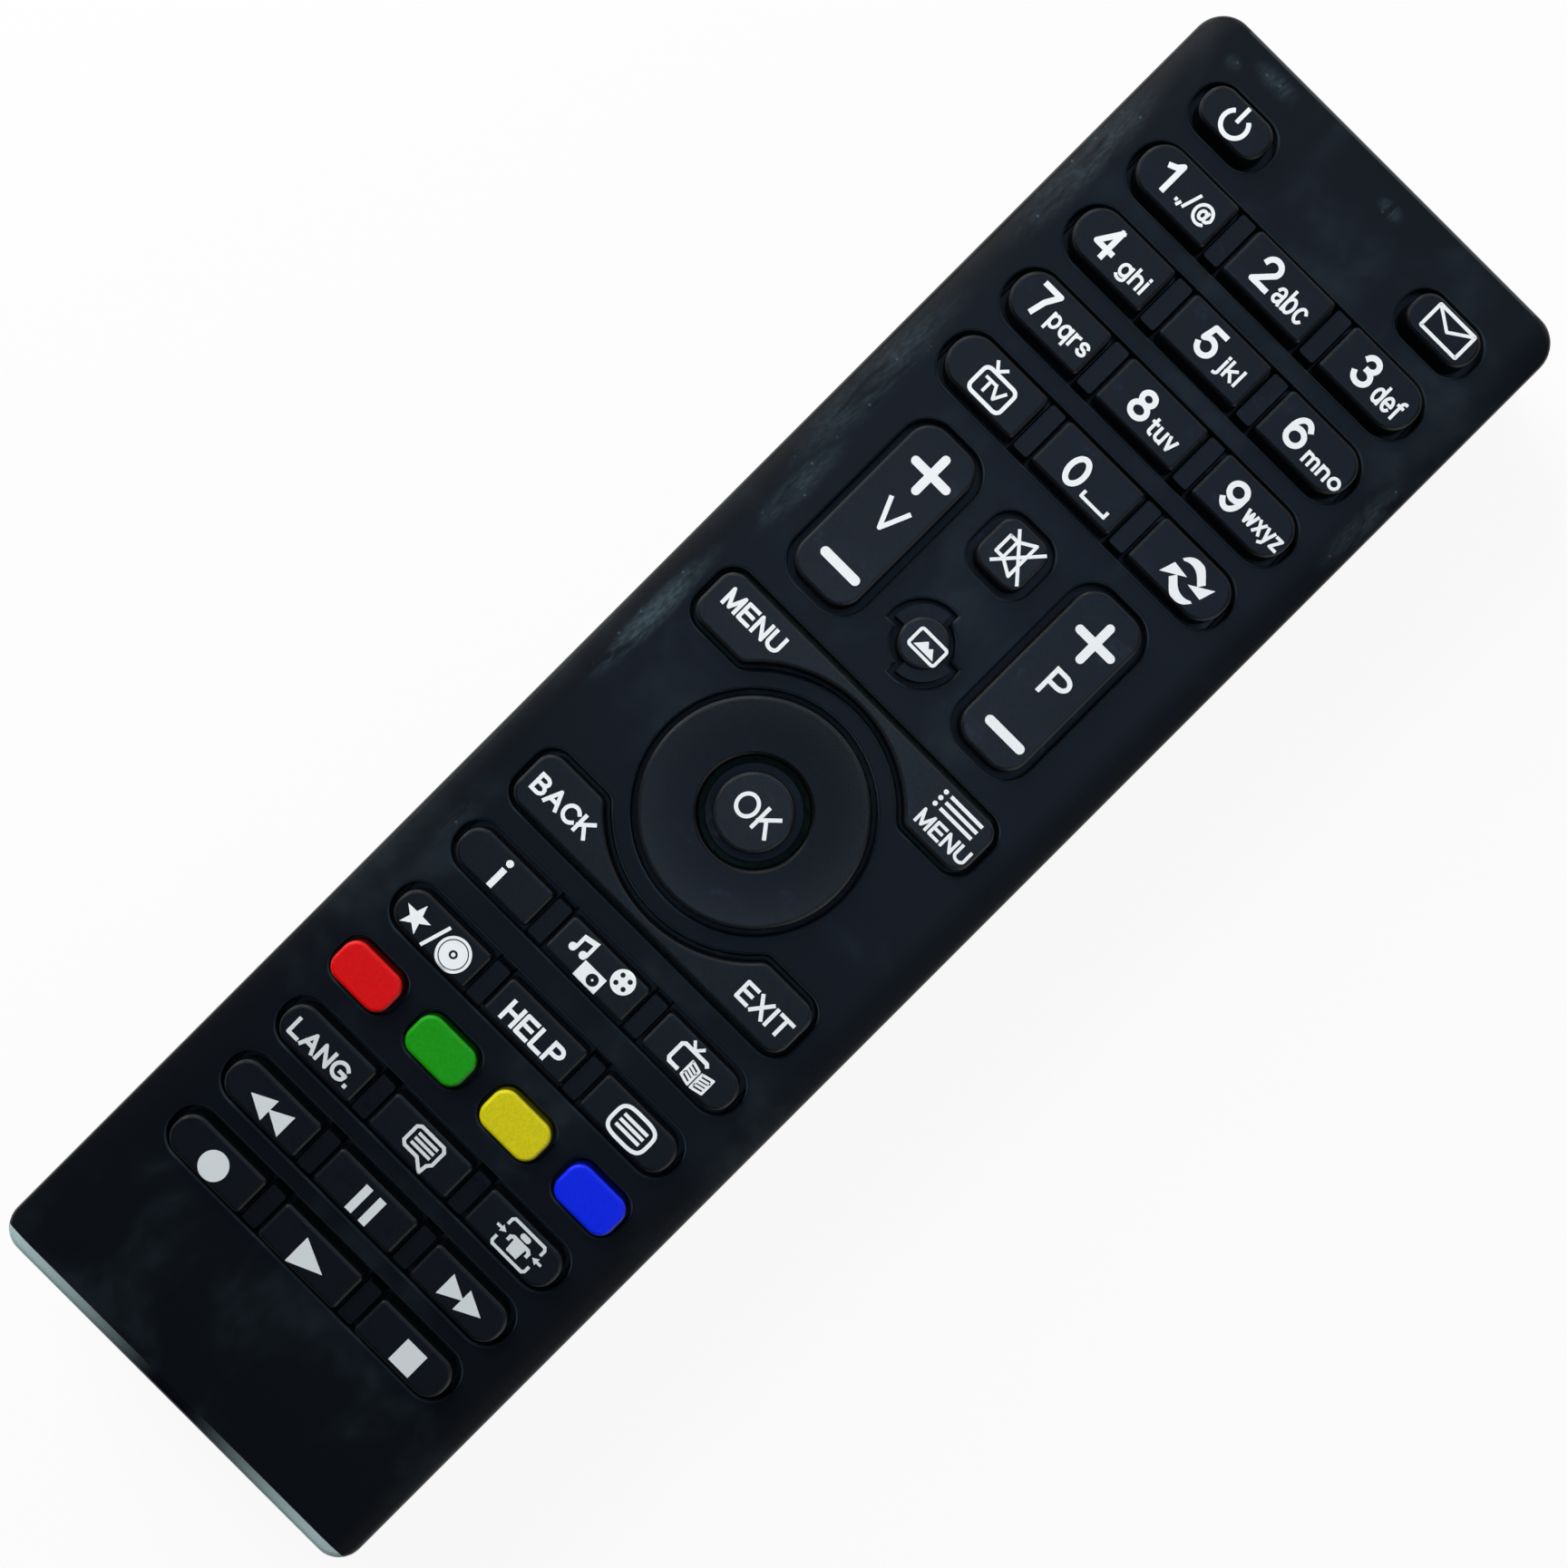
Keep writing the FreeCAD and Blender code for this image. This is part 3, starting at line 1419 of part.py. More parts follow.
def make_lamp():
    """The infrared lamp: a domed lens on a rim, looking along Y, with two bent leads."""
    base = "lamp_tip - lamp_length"
    radius = "lamp_diameter / 2"
    parts = []
    for name, size, start, end in (
        ("lamp_rim", f"{radius} + lamp_rim", base, f"{base} + lamp_rim_length"),
        ("lamp_barrel", radius, base, f"lamp_tip - {radius}"),
    ):
        barrel = doc.addObject("Part::Cylinder", name)
        barrel.setExpression("Radius", tied(size))
        barrel.setExpression("Height", tied(f"({end}) - ({start})"))
        barrel.Placement.Rotation = FreeCAD.Rotation(FreeCAD.Vector(1, 0, 0), -90)
        put(barrel, "0", start)
        barrel.setExpression("Placement.Base.z", tied("lamp_height"))
        parts.append(barrel)
    dome = doc.addObject("Part::Sphere", "lamp_dome")
    dome.setExpression("Radius", tied(radius))
    put(dome, "0", f"lamp_tip - {radius}")
    dome.setExpression("Placement.Base.z", tied("lamp_height"))
    parts.append(dome)
    half = "lead_size / 2"
    for side, x in zip(("left", "right"), LEADS):
        for name, back, low, high in (
            ("run", base, f"lamp_height - {half}", f"lamp_height + {half}"),
            ("rise", f"{LEAD_ROW} + {half}", f"lamp_height - {half}", "board_high - seat_gap"),
        ):
            lead = part_box(
                f"lamp_{side}_{name}",
                f"{x} - {half}",
                f"{x} + {half}",
                f"{LEAD_ROW} - {half}",
                back,
                low,
                high,
            )
            parts.append(lead)
    return joined("Part::MultiFuse", "ir_lamp", parts)


def make_window():
    """The dark window in the head end, held by a flange inside the wall."""
    body = new_body("ir_window")
    drawing = Drawing(body, "window_outline", "-case_length / 2", "XZ_Plane")
    add_rectangle(
        drawing,
        "-window_width / 2 + window_gap",
        "window_width / 2 - window_gap",
        "window_low + window_gap",
        "window_high - window_gap",
    )
    pad(body, drawing, "side_wall + seat_gap + window_flange / 2", "window_pane")
    drawing = Drawing(body, "flange_outline", "-inner_end + seat_gap", "XZ_Plane")
    add_rectangle(
        drawing,
        "-window_width / 2 - window_edge",
        "window_width / 2 + window_edge",
        "window_low + window_gap",
        "window_high + window_edge",
    )
    pad(body, drawing, "window_flange", "window_flange_plate")
    return body


def make_chip():
    """The control chip under the board: a block with a row of legs along each side."""
    body = new_body("control_chip")
    top = "board_low - seat_gap"
    drawing = Drawing(body, "chip_outline", f"{top} - chip_height")
    add_rectangle(
        drawing,
        "-chip_width / 2",
        "chip_width / 2",
        "chip_row - chip_length / 2",
        "chip_row + chip_length / 2",
    )
    pad(body, drawing, "chip_height - chip_stand", "chip_block")
    drawing = Drawing(body, "chip_leg_outline", f"{top} - chip_leg")
    first = f"chip_row - {(CHIP_LEGS - 1) / 2} * chip_leg_pitch"
    add_rectangle(
        drawing,
        "-chip_width / 2 - chip_leg_reach",
        "chip_width / 2 + chip_leg_reach",
        f"{first} - chip_leg / 2",
        f"{first} + chip_leg / 2",
    )
    leg = pad(body, drawing, "chip_leg", "chip_leg_pair")
    doc.recompute()
    row = body.newObject("PartDesign::LinearPattern", "chip_legs")
    row.Originals = [leg]
    row.Direction = (origin_feature(body, "Y_Axis"), [""])
    row.Mode = "Spacing"
    row.setExpression("Offset", tied("chip_leg_pitch"))
    row.Occurrences = CHIP_LEGS
    body.Tip = row
    return body


def make_small_components():
    """The resonator, the capacitor and four resistors, all under the board."""
    top = "board_low - seat_gap"
    resonator = part_box(
        "resonator",
        "-resonator_width / 2",
        "resonator_width / 2",
        "resonator_row - resonator_depth / 2",
        "resonator_row + resonator_depth / 2",
        f"{top} - resonator_height",
        top,
    )
    capacitor = doc.addObject("Part::Cylinder", "capacitor")
    capacitor.setExpression("Radius", tied("capacitor_diameter / 2"))
    capacitor.setExpression("Height", tied("capacitor_length"))
    capacitor.Placement.Rotation = FreeCAD.Rotation(FreeCAD.Vector(0, 1, 0), 90)
    put(capacitor, "-capacitor_length / 2", "capacitor_row")
    capacitor.setExpression("Placement.Base.z", tied(f"{top} - capacitor_diameter / 2"))
    chips = []
    for step in (-1.5, -0.5, 0.5, 1.5):
        chips.append(
            part_box(
                f"resistor_{len(chips) + 1}",
                f"{step} * resistor_pitch - resistor_width / 2",
                f"{step} * resistor_pitch + resistor_width / 2",
                "resistor_row - resistor_length / 2",
                "resistor_row + resistor_length / 2",
                f"{top} - resistor_height",
                top,
            )
        )
    return [resonator, capacitor, joined("Part::Compound", "resistors", chips)]


def make_contacts():
    """The bridge across both cells at the tail, and the two contacts with legs at the head."""
    left, right = LEG_PLACES
    tail = "bay_tail + seat_gap"
    return [
        make_contact("bridge_contact", [left, right], tail, None),
        make_contact("positive_contact", [left], CONTACT_ROW, left),
        make_contact("negative_contact", [right], CONTACT_ROW, right),
    ]


nodes = [make_top_case(), make_bottom_case(), make_battery_cover()]
nodes += make_row_keys() + make_plain_keys()
nodes += [make_picture_key(), make_bar("menu_bar", False), make_bar("back_bar", True)]
nodes += [make_ring(), make_ok_key(), make_ring_web(), make_membrane(), make_board()]
nodes += [
    make_cell("battery_1", "-cell_apart / 2", True),
    make_cell("battery_2", "cell_apart / 2", False),
]
nodes += make_contacts() + [make_springs(), make_lamp(), make_window(), make_chip()]
nodes += make_small_components()
doc.recompute()

for item in doc.Objects:
    if "Invalid" in item.State or "Error" in item.State:
        raise ValueError(item.Name + " failed: " + ", ".join(item.State))
for node in nodes:
    if node.Shape.isNull() or not node.Shape.isValid() or not node.Shape.Solids:
        raise ValueError(node.Label + " is not a valid solid")

os.makedirs("parts", exist_ok=True)
for node in nodes:
    node.Shape.exportStep(f"parts/{node.Label}.step")
print(len(nodes), "nodes,", sum(len(node.Shape.Solids) for node in nodes), "solids")
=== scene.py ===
"""The looks of a television box's remote control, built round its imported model."""

import math
from collections import namedtuple

import bmesh
import bpy
import numpy as np
from bpy.props import FloatProperty, FloatVectorProperty, PointerProperty
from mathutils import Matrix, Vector


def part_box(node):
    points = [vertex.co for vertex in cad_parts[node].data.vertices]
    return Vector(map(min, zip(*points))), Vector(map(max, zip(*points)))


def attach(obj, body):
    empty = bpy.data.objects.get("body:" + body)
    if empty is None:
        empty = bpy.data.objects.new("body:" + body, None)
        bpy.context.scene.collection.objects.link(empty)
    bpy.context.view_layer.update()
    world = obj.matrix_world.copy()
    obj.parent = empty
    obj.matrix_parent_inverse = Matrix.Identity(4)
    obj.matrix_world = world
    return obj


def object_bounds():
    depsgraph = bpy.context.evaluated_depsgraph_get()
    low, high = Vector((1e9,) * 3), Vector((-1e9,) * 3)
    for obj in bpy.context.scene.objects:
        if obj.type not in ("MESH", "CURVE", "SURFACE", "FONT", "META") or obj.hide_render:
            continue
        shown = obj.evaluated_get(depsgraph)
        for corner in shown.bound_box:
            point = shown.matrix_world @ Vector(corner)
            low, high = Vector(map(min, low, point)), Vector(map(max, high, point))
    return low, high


bl_info = {
    "name": "Television remote control",
    "version": (1, 0, 0),
    "blender": (4, 5, 0),
    "location": "3D View > Sidebar > Remote",
    "description": "Plastic, rubber, legends, inside finishes and studio for a remote control",
    "category": "Object",
}

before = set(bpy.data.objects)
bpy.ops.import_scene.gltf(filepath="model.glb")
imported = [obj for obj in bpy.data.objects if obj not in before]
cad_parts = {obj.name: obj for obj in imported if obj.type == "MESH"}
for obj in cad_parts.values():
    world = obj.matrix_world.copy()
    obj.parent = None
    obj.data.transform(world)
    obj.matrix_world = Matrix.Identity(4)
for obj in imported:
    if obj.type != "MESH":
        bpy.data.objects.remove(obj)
cad_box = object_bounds()

MM = 0.001

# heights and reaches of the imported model, in metres
SPLIT_HEIGHT = 8.4 * MM
FACE_HEIGHT = 19.4 * MM
FLAT_REACH = 21.4 * MM
TAIL_END = cad_box[0].y
KEY_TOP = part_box("key_ok")[1].z
PILL_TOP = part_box("key_ok")[0].z + 0.3 * MM

# the same for what the case holds: how far the marks on a component reach from its end or side
BOARD_SKIN = 0.02 * MM
BAND_SHARE = 0.3
CELL_BUTTON = 1.7 * MM
CELL_RIM = 0.6 * MM
LAMP_DOME = 8.6 * MM
CHIP_LEG = 1.28 * MM
STRIPE_WIDTH = 1.0 * MM
CAPACITOR_TOP = 0.4 * MM

# a key's foot and the rounding of its top, in millimetres, as the legends are drawn
FOOT_REACH = 1.0
KEY_ROUND = 0.45

# where the case's plastic takes painted highlights and reflections and is rubbed glossier: depths
# below the face, how far from the middle the light strip of painted reflection at the tail end
# comes in, its roughness, and the width of the joint line
RIM_DEPTH = 0.3 * MM
RIM_TOP = 0.02 * MM
EDGE_DEPTH = 0.7 * MM
STRIP_FADE = (2 * MM, 24 * MM)
STRIP_GLOSS = 0.1
SEAM = 0.34 * MM

# how much painted highlight a slot's rim shows, how much film the plain plastic and its grain show,
# and how much glossier a rim is
RIM_HIGHLIGHT_SHARE = 0.42
FILM_SHARE = 0.16
GRAIN_SHARE = 0.022
RIM_POLISH = 0.1

# how deep a place on the face with smears or painted reflections reaches, between which strengths
# of those places dust comes in and how light it is, the film that thumbs leave on the keys, and how
# much glossier skin oil makes them
SMEAR_AND_REFLECTION_DEPTH = 3 * MM
DUST_BAND = (0.02, 0.3)
DUST_SHARE = 0.9
THUMB_MIDDLE = (0, 6 * MM, KEY_TOP)
THUMB_REACH = (40 * MM, 52 * MM, 8 * MM)
THUMB_SHARE = 0.85
OIL_POLISH = 0.14

# the studio: lengths in metres, and the cosine of the angle that the panel reaches to
FLOOR_HEIGHT = -0.05 * MM
FLOOR_REACH = 3.0
FLOOR_LINES = 41
HORIZON_BAND = (0.05, 0.6)
PANEL_RIM = 0.935
CAMERA_ASIDE = (0.12 * MM, 0.35 * MM)
LAMP_TARGET = Vector((0, 0, 10 * MM))
LEFT_LAMP_PLACE = (-0.55, 0.18, 0.35)
RIGHT_LAMP_PLACE = (0.6, -0.1, 0.35)
HEAD_LAMP_PLACE = (0.0, 0.65, 0.35)
WIDE_LAMP = (0.6, 0.8)

CASE_NODES = ["top_case", "bottom_case", "battery_cover"]
ROW_KEYS = [
    "key_1", "key_2", "key_3", "key_4", "key_5", "key_6", "key_7", "key_8", "key_9",
    "key_tv", "key_0", "key_swap", "key_info", "key_media", "key_guide",
    "key_favourites", "key_help", "key_text", "key_language", "key_subtitle", "key_size",
    "key_rewind", "key_pause", "key_forward", "key_record", "key_play", "key_stop",
]
OTHER_KEYS = [
    "key_power", "key_message", "key_mute", "key_picture", "key_ok", "volume_rocker",
    "programme_rocker", "menu_bar", "back_bar", "nav_ring", "nav_ring_web", "keypad_membrane",
]
COLOUR_KEYS = ["key_red", "key_green", "key_yellow", "key_blue"]
STEEL_NODES = ["bridge_contact", "positive_contact", "negative_contact", "contact_springs"]

# places on the face with smears or dust, and along the crowned edges painted reflections and a
# painted highlight: middle and reach in millimetres, strength
SMEAR_AND_REFLECTION_PLACES = [
    # painted reflection along the crowned left edge
    ((-23.9, 70.0), (2.6, 15.0), 0.6),
    ((-15.4, 90.4), (4.2, 1.6), 0.5),
    ((2.6, 89.4), (2.2, 1.2), 0.6),
    ((-20.4, 88.6), (1.4, 1.2), 0.35),
    # painted reflection along the crowned right edge
    ((24.2, 64.0), (1.9, 9.0), 0.45),
    # painted reflection along the crowned left edge; the next place lower on it is a painted
    # highlight band
    ((-23.4, 38.0), (2.8, 18.0), 0.5),
    ((-22.6, 3.5), (1.9, 12.0), 1.0),
    ((-21.2, 24.0), (2.0, 9.0), 0.6),
    ((-21.5, -28.0), (2.2, 6.0), 0.25),
    ((-6.5, 1.5), (6.5, 5.0), 0.22),
    ((16.0, 11.5), (7.0, 3.6), 0.2),
]


def paint(red, green, blue):
    """A colour as a screen shows it, 0 to 255, in the linear values that a material takes."""
    shown = np.array([red, green, blue]) / 255
    linear = np.where(shown < 0.04045, shown / 12.92, ((shown + 0.055) / 1.055) ** 2.4)
    return tuple(float(part) for part in linear)


def colour_setting(name, description, default):
    """A colour that a user can change."""
    return FloatVectorProperty(
        name=name, description=description, subtype="COLOR", size=3, min=0, max=1, default=default
    )


def length_setting(name, description, default):
    """A length in metres that a user can change."""
    return FloatProperty(
        name=name, description=description, default=default, min=0, precision=6, unit="LENGTH"
    )


def share_setting(name, description, default):
    """A share from 0 to 1 that a user can change."""
    return FloatProperty(
        name=name, description=description, default=default, min=0, max=1, subtype="FACTOR"
    )


def angle_setting(name, description, degrees):
    """An angle, given here in degrees, that a user can change."""
    return FloatProperty(
        name=name, description=description, default=math.radians(degrees), subtype="ANGLE"
    )


def power_setting(name, description, default):
    """A lamp's power in watts that a user can change."""
    return FloatProperty(name=name, description=description, default=default, min=0, unit="POWER")


class RemoteCaseSettings(bpy.types.PropertyGroup):
    """Sizes and colours of the case's plastic."""

    plastic: colour_setting("Plastic", "Colour of the moulded case", paint(4, 5, 9))
    # also the colour of the painted highlights on the slots' rims and of the painted reflections
    # along the edges
    smear: colour_setting("Smear", "Colour where fingers have left a film", paint(62, 78, 86))
    # painted reflection: the light, bluish grey of the strip along the tail end's top edge
    strip: colour_setting("Strip", "Colour of the rubbed tail edge", paint(164, 186, 184))
    gloss: share_setting("Roughness", "Roughness of the clean plastic", 0.32)
    shine: share_setting("Shine", "How strongly the plastic reflects straight on", 0.34)
    worn_gloss: share_setting("Worn roughness", "Roughness where the plastic is smeared", 0.6)
    grain: length_setting("Grain", "Size of the moulded grain", 0.22 * MM)
    grain_depth: length_setting("Grain depth", "Depth of the moulded grain", 0.004 * MM)
    reflection_strip_width: length_setting("Strip edge", "Width of the rubbed tail edge", 1.35 * MM)
    window: colour_setting("Window", "Colour of the infrared window", paint(38, 12, 18))


class RemoteKeySettings(bpy.types.PropertyGroup):
    """Sizes and colours of the rubber keys."""

    rubber: colour_setting("Rubber", "Colour of the black keys", paint(4, 7, 12))
    film: colour_setting("Film", "Colour of the keys where thumbs rest most", paint(30, 34, 36))
    carbon: colour_setting("Carbon", "Colour of the pills under the keys", paint(20, 20, 22))
    red: colour_setting("Red", "Colour of the red key", paint(212, 2, 0))
    green: colour_setting("Green", "Colour of the green key", paint(22, 146, 2))
    yellow: colour_setting("Yellow", "Colour of the yellow key", paint(208, 198, 2))
    blue: colour_setting("Blue", "Colour of the blue key", paint(0, 34, 232))
    gloss: share_setting("Roughness", "Roughness of the rubber", 0.36)
    shine: share_setting("Shine", "How strongly the rubber reflects straight on", 0.5)
    grain: length_setting("Grain", "Size of the rubber's texture", 0.3 * MM)
    grain_depth: length_setting("Grain depth", "Depth of the rubber's texture", 0.008 * MM)


class RemoteLegendSettings(bpy.types.PropertyGroup):
    """Sizes and colours of the printed legends."""

    bright: colour_setting("Bright ink", "Ink above the colour keys", paint(246, 250, 250))
    # painted shade: the ink of the lowest rows is a darker copy of the bright ink, for less light
    # at the tail end
    dull: colour_setting("Dull ink", "Ink of the lowest three rows", paint(214, 220, 220))
    rise: length_setting("Rise", "How far the ink stands above the rubber", 0.03 * MM)
    sink: length_setting("Sink", "How far the ink reaches into the rubber", 0.02 * MM)
    thick: length_setting("Digit stroke", "Stroke of the digits", 0.64 * MM)
    middle: length_setting("Word stroke", "Stroke of the words", 0.44 * MM)
    thin: length_setting("Letter stroke", "Stroke of the small letters", 0.36 * MM)


class RemoteInsideSettings(bpy.types.PropertyGroup):
    """Colours of what the case holds."""

    laminate: colour_setting("Laminate", "Colour of the board's laminate", paint(150, 112, 66))
    lacquer: colour_setting("Lacquer", "Colour of the board's lacquer", paint(34, 84, 46))
    jacket: colour_setting("Jacket", "Colour of the cells' jackets", paint(38, 78, 128))
    band: colour_setting("Band", "Colour of each cell's band", paint(200, 204, 206))
    steel: colour_setting("Steel", "Colour of the contacts and springs", paint(206, 204, 198))
    lamp: colour_setting("Lamp", "Colour of the lamp's epoxy", paint(200, 208, 226))
    chip: colour_setting("Chip", "Colour of the chip's epoxy", paint(30, 30, 32))
    resonator: colour_setting("Resonator", "Colour of the resonator's resin", paint(206, 120, 44))
    sleeve: colour_setting("Sleeve", "Colour of the capacitor's sleeve", paint(28, 44, 88))
    stripe: colour_setting("Stripe", "Colour of the capacitor's stripe", paint(176, 184, 192))


class RemoteStageSettings(bpy.types.PropertyGroup):
    """The camera, the lamps and the floor."""

    camera_height: length_setting("Camera height", "Height of the camera above the face", 0.25)
    lens: FloatProperty(name="Lens", description="Focal length in mm", default=53.8, min=10)
    turn: angle_setting("Turn", "How far the camera is rolled", 45)
    floor: colour_setting("Floor", "Colour of the floor", (0.8, 0.8, 0.8))
    floor_lift: share_setting("Floor lift", "How far the floor is lifted to plain white", 0.92)
    key_power: power_setting("Key lamp", "Power of the lamp beyond the left edge", 5.4)
    edge_power: power_setting("Edge lamp", "Power of the lamp that the gloss mirrors", 2.7)
    fill_power: power_setting("Fill lamp", "Power of the lamp beyond the right edge", 1.0)
    head_power: power_setting("Head lamp", "Power of the lamp beyond the head end", 0.8)
    backdrop: share_setting("Backdrop", "Brightness of the studio to the camera", 0.93)
    overhead: share_setting("Overhead", "Brightness of the studio straight above", 0.01)
    horizon: share_setting("Horizon", "Brightness of the studio near the floor", 0.15)
    panel: colour_setting("Panel", "Colour of the soft panel above the part", (0.42, 0.62, 1.0))
    panel_glow: share_setting("Panel glow", "Brightness of the soft panel", 1.0)
    panel_lean: angle_setting("Panel lean", "How far the panel leans from straight above", 8)


class RemoteSettings(bpy.types.PropertyGroup):
    """All the settings of the remote control."""

    case: PointerProperty(type=RemoteCaseSettings)
    keys: PointerProperty(type=RemoteKeySettings)
    legends: PointerProperty(type=RemoteLegendSettings)
    inside: PointerProperty(type=RemoteInsideSettings)
    stage: PointerProperty(type=RemoteStageSettings)


# shader nodes


def rgba(colour):
    """A colour with full cover."""
    return (*colour, 1.0)


def toned(colour, share):
    """A colour with every part multiplied by a share."""
    return tuple(part * share for part in colour)


def add_node(tree, kind, wires=None, **settings):
    """A node with its settings, and each named input given a value or wired to a socket."""
    made = tree.nodes.new(kind)
    for name, setting in settings.items():
        setattr(made, name, setting)
    for name, source in (wires or {}).items():
        if isinstance(source, bpy.types.NodeSocket):
            tree.links.new(source, made.inputs[name])
        else:
            made.inputs[name].default_value = source
    return made


def calculate(tree, operation, first, second=0.0):
    """The result of one sum on two values or sockets."""
    made = add_node(tree, "ShaderNodeMath", {0: first, 1: second}, operation=operation)
    return made.outputs[0]


def ramp(tree, source, low, high, start=0.0, end=1.0):
    """A value that goes smoothly from start to end while its source goes from low to high."""
    wires = {"Value": source, "From Min": low, "From Max": high, "To Min": start, "To Max": end}
    made = add_node(tree, "ShaderNodeMapRange", wires, interpolation_type="SMOOTHSTEP")
    return made.outputs["Result"]


def blend_colours(tree, share, first, second):
    """First where the share is 0, second where it is 1."""
    made = tree.nodes.new("ShaderNodeMix")
    made.data_type = "RGBA"
    ends = [made.inputs["Factor"]]
    ends += [socket for socket in made.inputs if socket.type == "RGBA"]
    for socket, source in zip(ends, (share, first, second)):
        if isinstance(source, bpy.types.NodeSocket):
            tree.links.new(source, socket)
        else:
            socket.default_value = source
    return next(socket for socket in made.outputs if socket.type == "RGBA")


def effect(name, inputs, outputs):
    """An empty node group with named sockets. Gives its tree, its input and its output node."""
    tree = bpy.data.node_groups.new(name, "ShaderNodeTree")
    for label, kind, default in inputs:
        socket = tree.interface.new_socket(label, in_out="INPUT", socket_type="NodeSocket" + kind)
        if default is not None:
            socket.default_value = default
    for label, kind in outputs:
        tree.interface.new_socket(label, in_out="OUTPUT", socket_type="NodeSocket" + kind)
    return tree, tree.nodes.new("NodeGroupInput"), tree.nodes.new("NodeGroupOutput")


def grain_effect():
    """Fine pits and bumps of a moulded surface: Tone is their height, Normal follows them."""
    inputs = [("Place", "Vector", None), ("Size", "Float", 0.0003), ("Depth", "Float", 0.00001)]
    tree, given, result = effect("Moulded grain", inputs, [("Tone", "Float"), ("Normal", "Vector")])
    often = calculate(tree, "DIVIDE", 1.0, given.outputs["Size"])
    noise = add_node(
        tree,
        "ShaderNodeTexNoise",
        {"Vector": given.outputs["Place"], "Scale": often, "Detail": 2.0, "Roughness": 0.6},
    )
    bump = add_node(
        tree,
        "ShaderNodeBump",
        {"Strength": 1.0, "Distance": given.outputs["Depth"], "Height": noise.outputs["Fac"]},
    )
    tree.links.new(noise.outputs["Fac"], result.inputs["Tone"])
    tree.links.new(bump.outputs["Normal"], result.inputs["Normal"])
    return tree


# smears: the tone at which a blotch starts without cover, how much lower full cover brings it,
# how much further on it is solid, and how much finer the marks are that break it
BLOTCH_START = 0.85
BLOTCH_DROP = 0.6
BLOTCH_EDGE = 0.22
FINER = 6.0

# dust: how far from the middle of its cell a speck is solid, and where it ends
SPECK_EDGE = (0.05, 0.13)


def smear_effect():
    """A film that hands leave: soft blotches, streaked along one axis and broken by finer ones."""
    inputs = [
        ("Place", "Vector", None),
        ("Size", "Float", 0.006),
        ("Streak", "Vector", (1.0, 1.0, 1.0)),
        ("Cover", "Float", 0.5),
    ]
    tree, given, result = effect("Handling smears", inputs, [("Mask", "Float")])
    often = calculate(tree, "DIVIDE", 1.0, given.outputs["Size"])
    stretched = add_node(
        tree,
        "ShaderNodeVectorMath",
        {0: given.outputs["Place"], 1: given.outputs["Streak"]},
        operation="MULTIPLY",
    )
    place = stretched.outputs["Vector"]
    broad = add_node(
        tree,
        "ShaderNodeTexNoise",
        {"Vector": place, "Scale": often, "Detail": 4.0, "Roughness": 0.55, "Distortion": 0.6},
    )
    finely = calculate(tree, "MULTIPLY", often, FINER)
    fine = add_node(tree, "ShaderNodeTexNoise", {"Vector": place, "Scale": finely, "Detail": 3.0})
    lowered = calculate(tree, "MULTIPLY", given.outputs["Cover"], BLOTCH_DROP)
    edge = calculate(tree, "SUBTRACT", BLOTCH_START, lowered)
    top = calculate(tree, "ADD", edge, BLOTCH_EDGE)
    blotch = ramp(tree, broad.outputs["Fac"], edge, top)
    broken = ramp(tree, fine.outputs["Fac"], 0.3, 0.7, 0.35, 1.0)
    tree.links.new(calculate(tree, "MULTIPLY", blotch, broken), result.inputs["Mask"])
    return tree


def patch_effect():
    """An oval patch: 1 at its middle, falling smoothly to 0 at its reach."""
    inputs = [
        ("Place", "Vector", None),
        ("Middle", "Vector", (0.0, 0.0, 0.0)),
        ("Reach", "Vector", (1.0, 1.0, 1.0)),
        ("Strength", "Float", 1.0),
    ]
    tree, given, result = effect("Worn patch", inputs, [("Mask", "Float")])
    away = add_node(
        tree,
        "ShaderNodeVectorMath",
        {0: given.outputs["Place"], 1: given.outputs["Middle"]},
        operation="SUBTRACT",
    )
    share = add_node(
        tree,
        "ShaderNodeVectorMath",
        {0: away.outputs["Vector"], 1: given.outputs["Reach"]},
        operation="DIVIDE",
    )
    far = add_node(tree, "ShaderNodeVectorMath", {0: share.outputs["Vector"]}, operation="LENGTH")
    mask = ramp(tree, far.outputs["Value"], 0.0, 1.0, 1.0, 0.0)
    strong = calculate(tree, "MULTIPLY", mask, given.outputs["Strength"])
    tree.links.new(strong, result.inputs["Mask"])
    return tree


def speck_effect():
    """Dust: small round specks, in only some of the cells that they could lie in."""
    inputs = [("Place", "Vector", None), ("Spacing", "Float", 0.002), ("Share", "Float", 0.2)]
    tree, given, result = effect("Dust specks", inputs, [("Mask", "Float")])
    often = calculate(tree, "DIVIDE", 1.0, given.outputs["Spacing"])
    cells = add_node(
        tree,
        "ShaderNodeTexVoronoi",
        {"Vector": given.outputs["Place"], "Scale": often},
        voronoi_dimensions="2D",
    )
    spot = ramp(tree, cells.outputs["Distance"], *SPECK_EDGE, 1.0, 0.0)
    parts = add_node(tree, "ShaderNodeSeparateColor", {"Color": cells.outputs["Color"]})
    chosen = calculate(tree, "LESS_THAN", parts.outputs["Red"], given.outputs["Share"])
    tree.links.new(calculate(tree, "MULTIPLY", spot, chosen), result.inputs["Mask"])
    return tree


EFFECTS = {
    "grain": grain_effect,
    "smear": smear_effect,
    "patch": patch_effect,
    "speck": speck_effect,
}


SOCKETS = {
    "base_color": "Base Color",
    "roughness": "Roughness",
    "metallic": "Metallic",
    "normal": "Normal",
    "transmission": "Transmission Weight",
    "bending": "IOR",
    "shine": "Specular IOR Level",
}


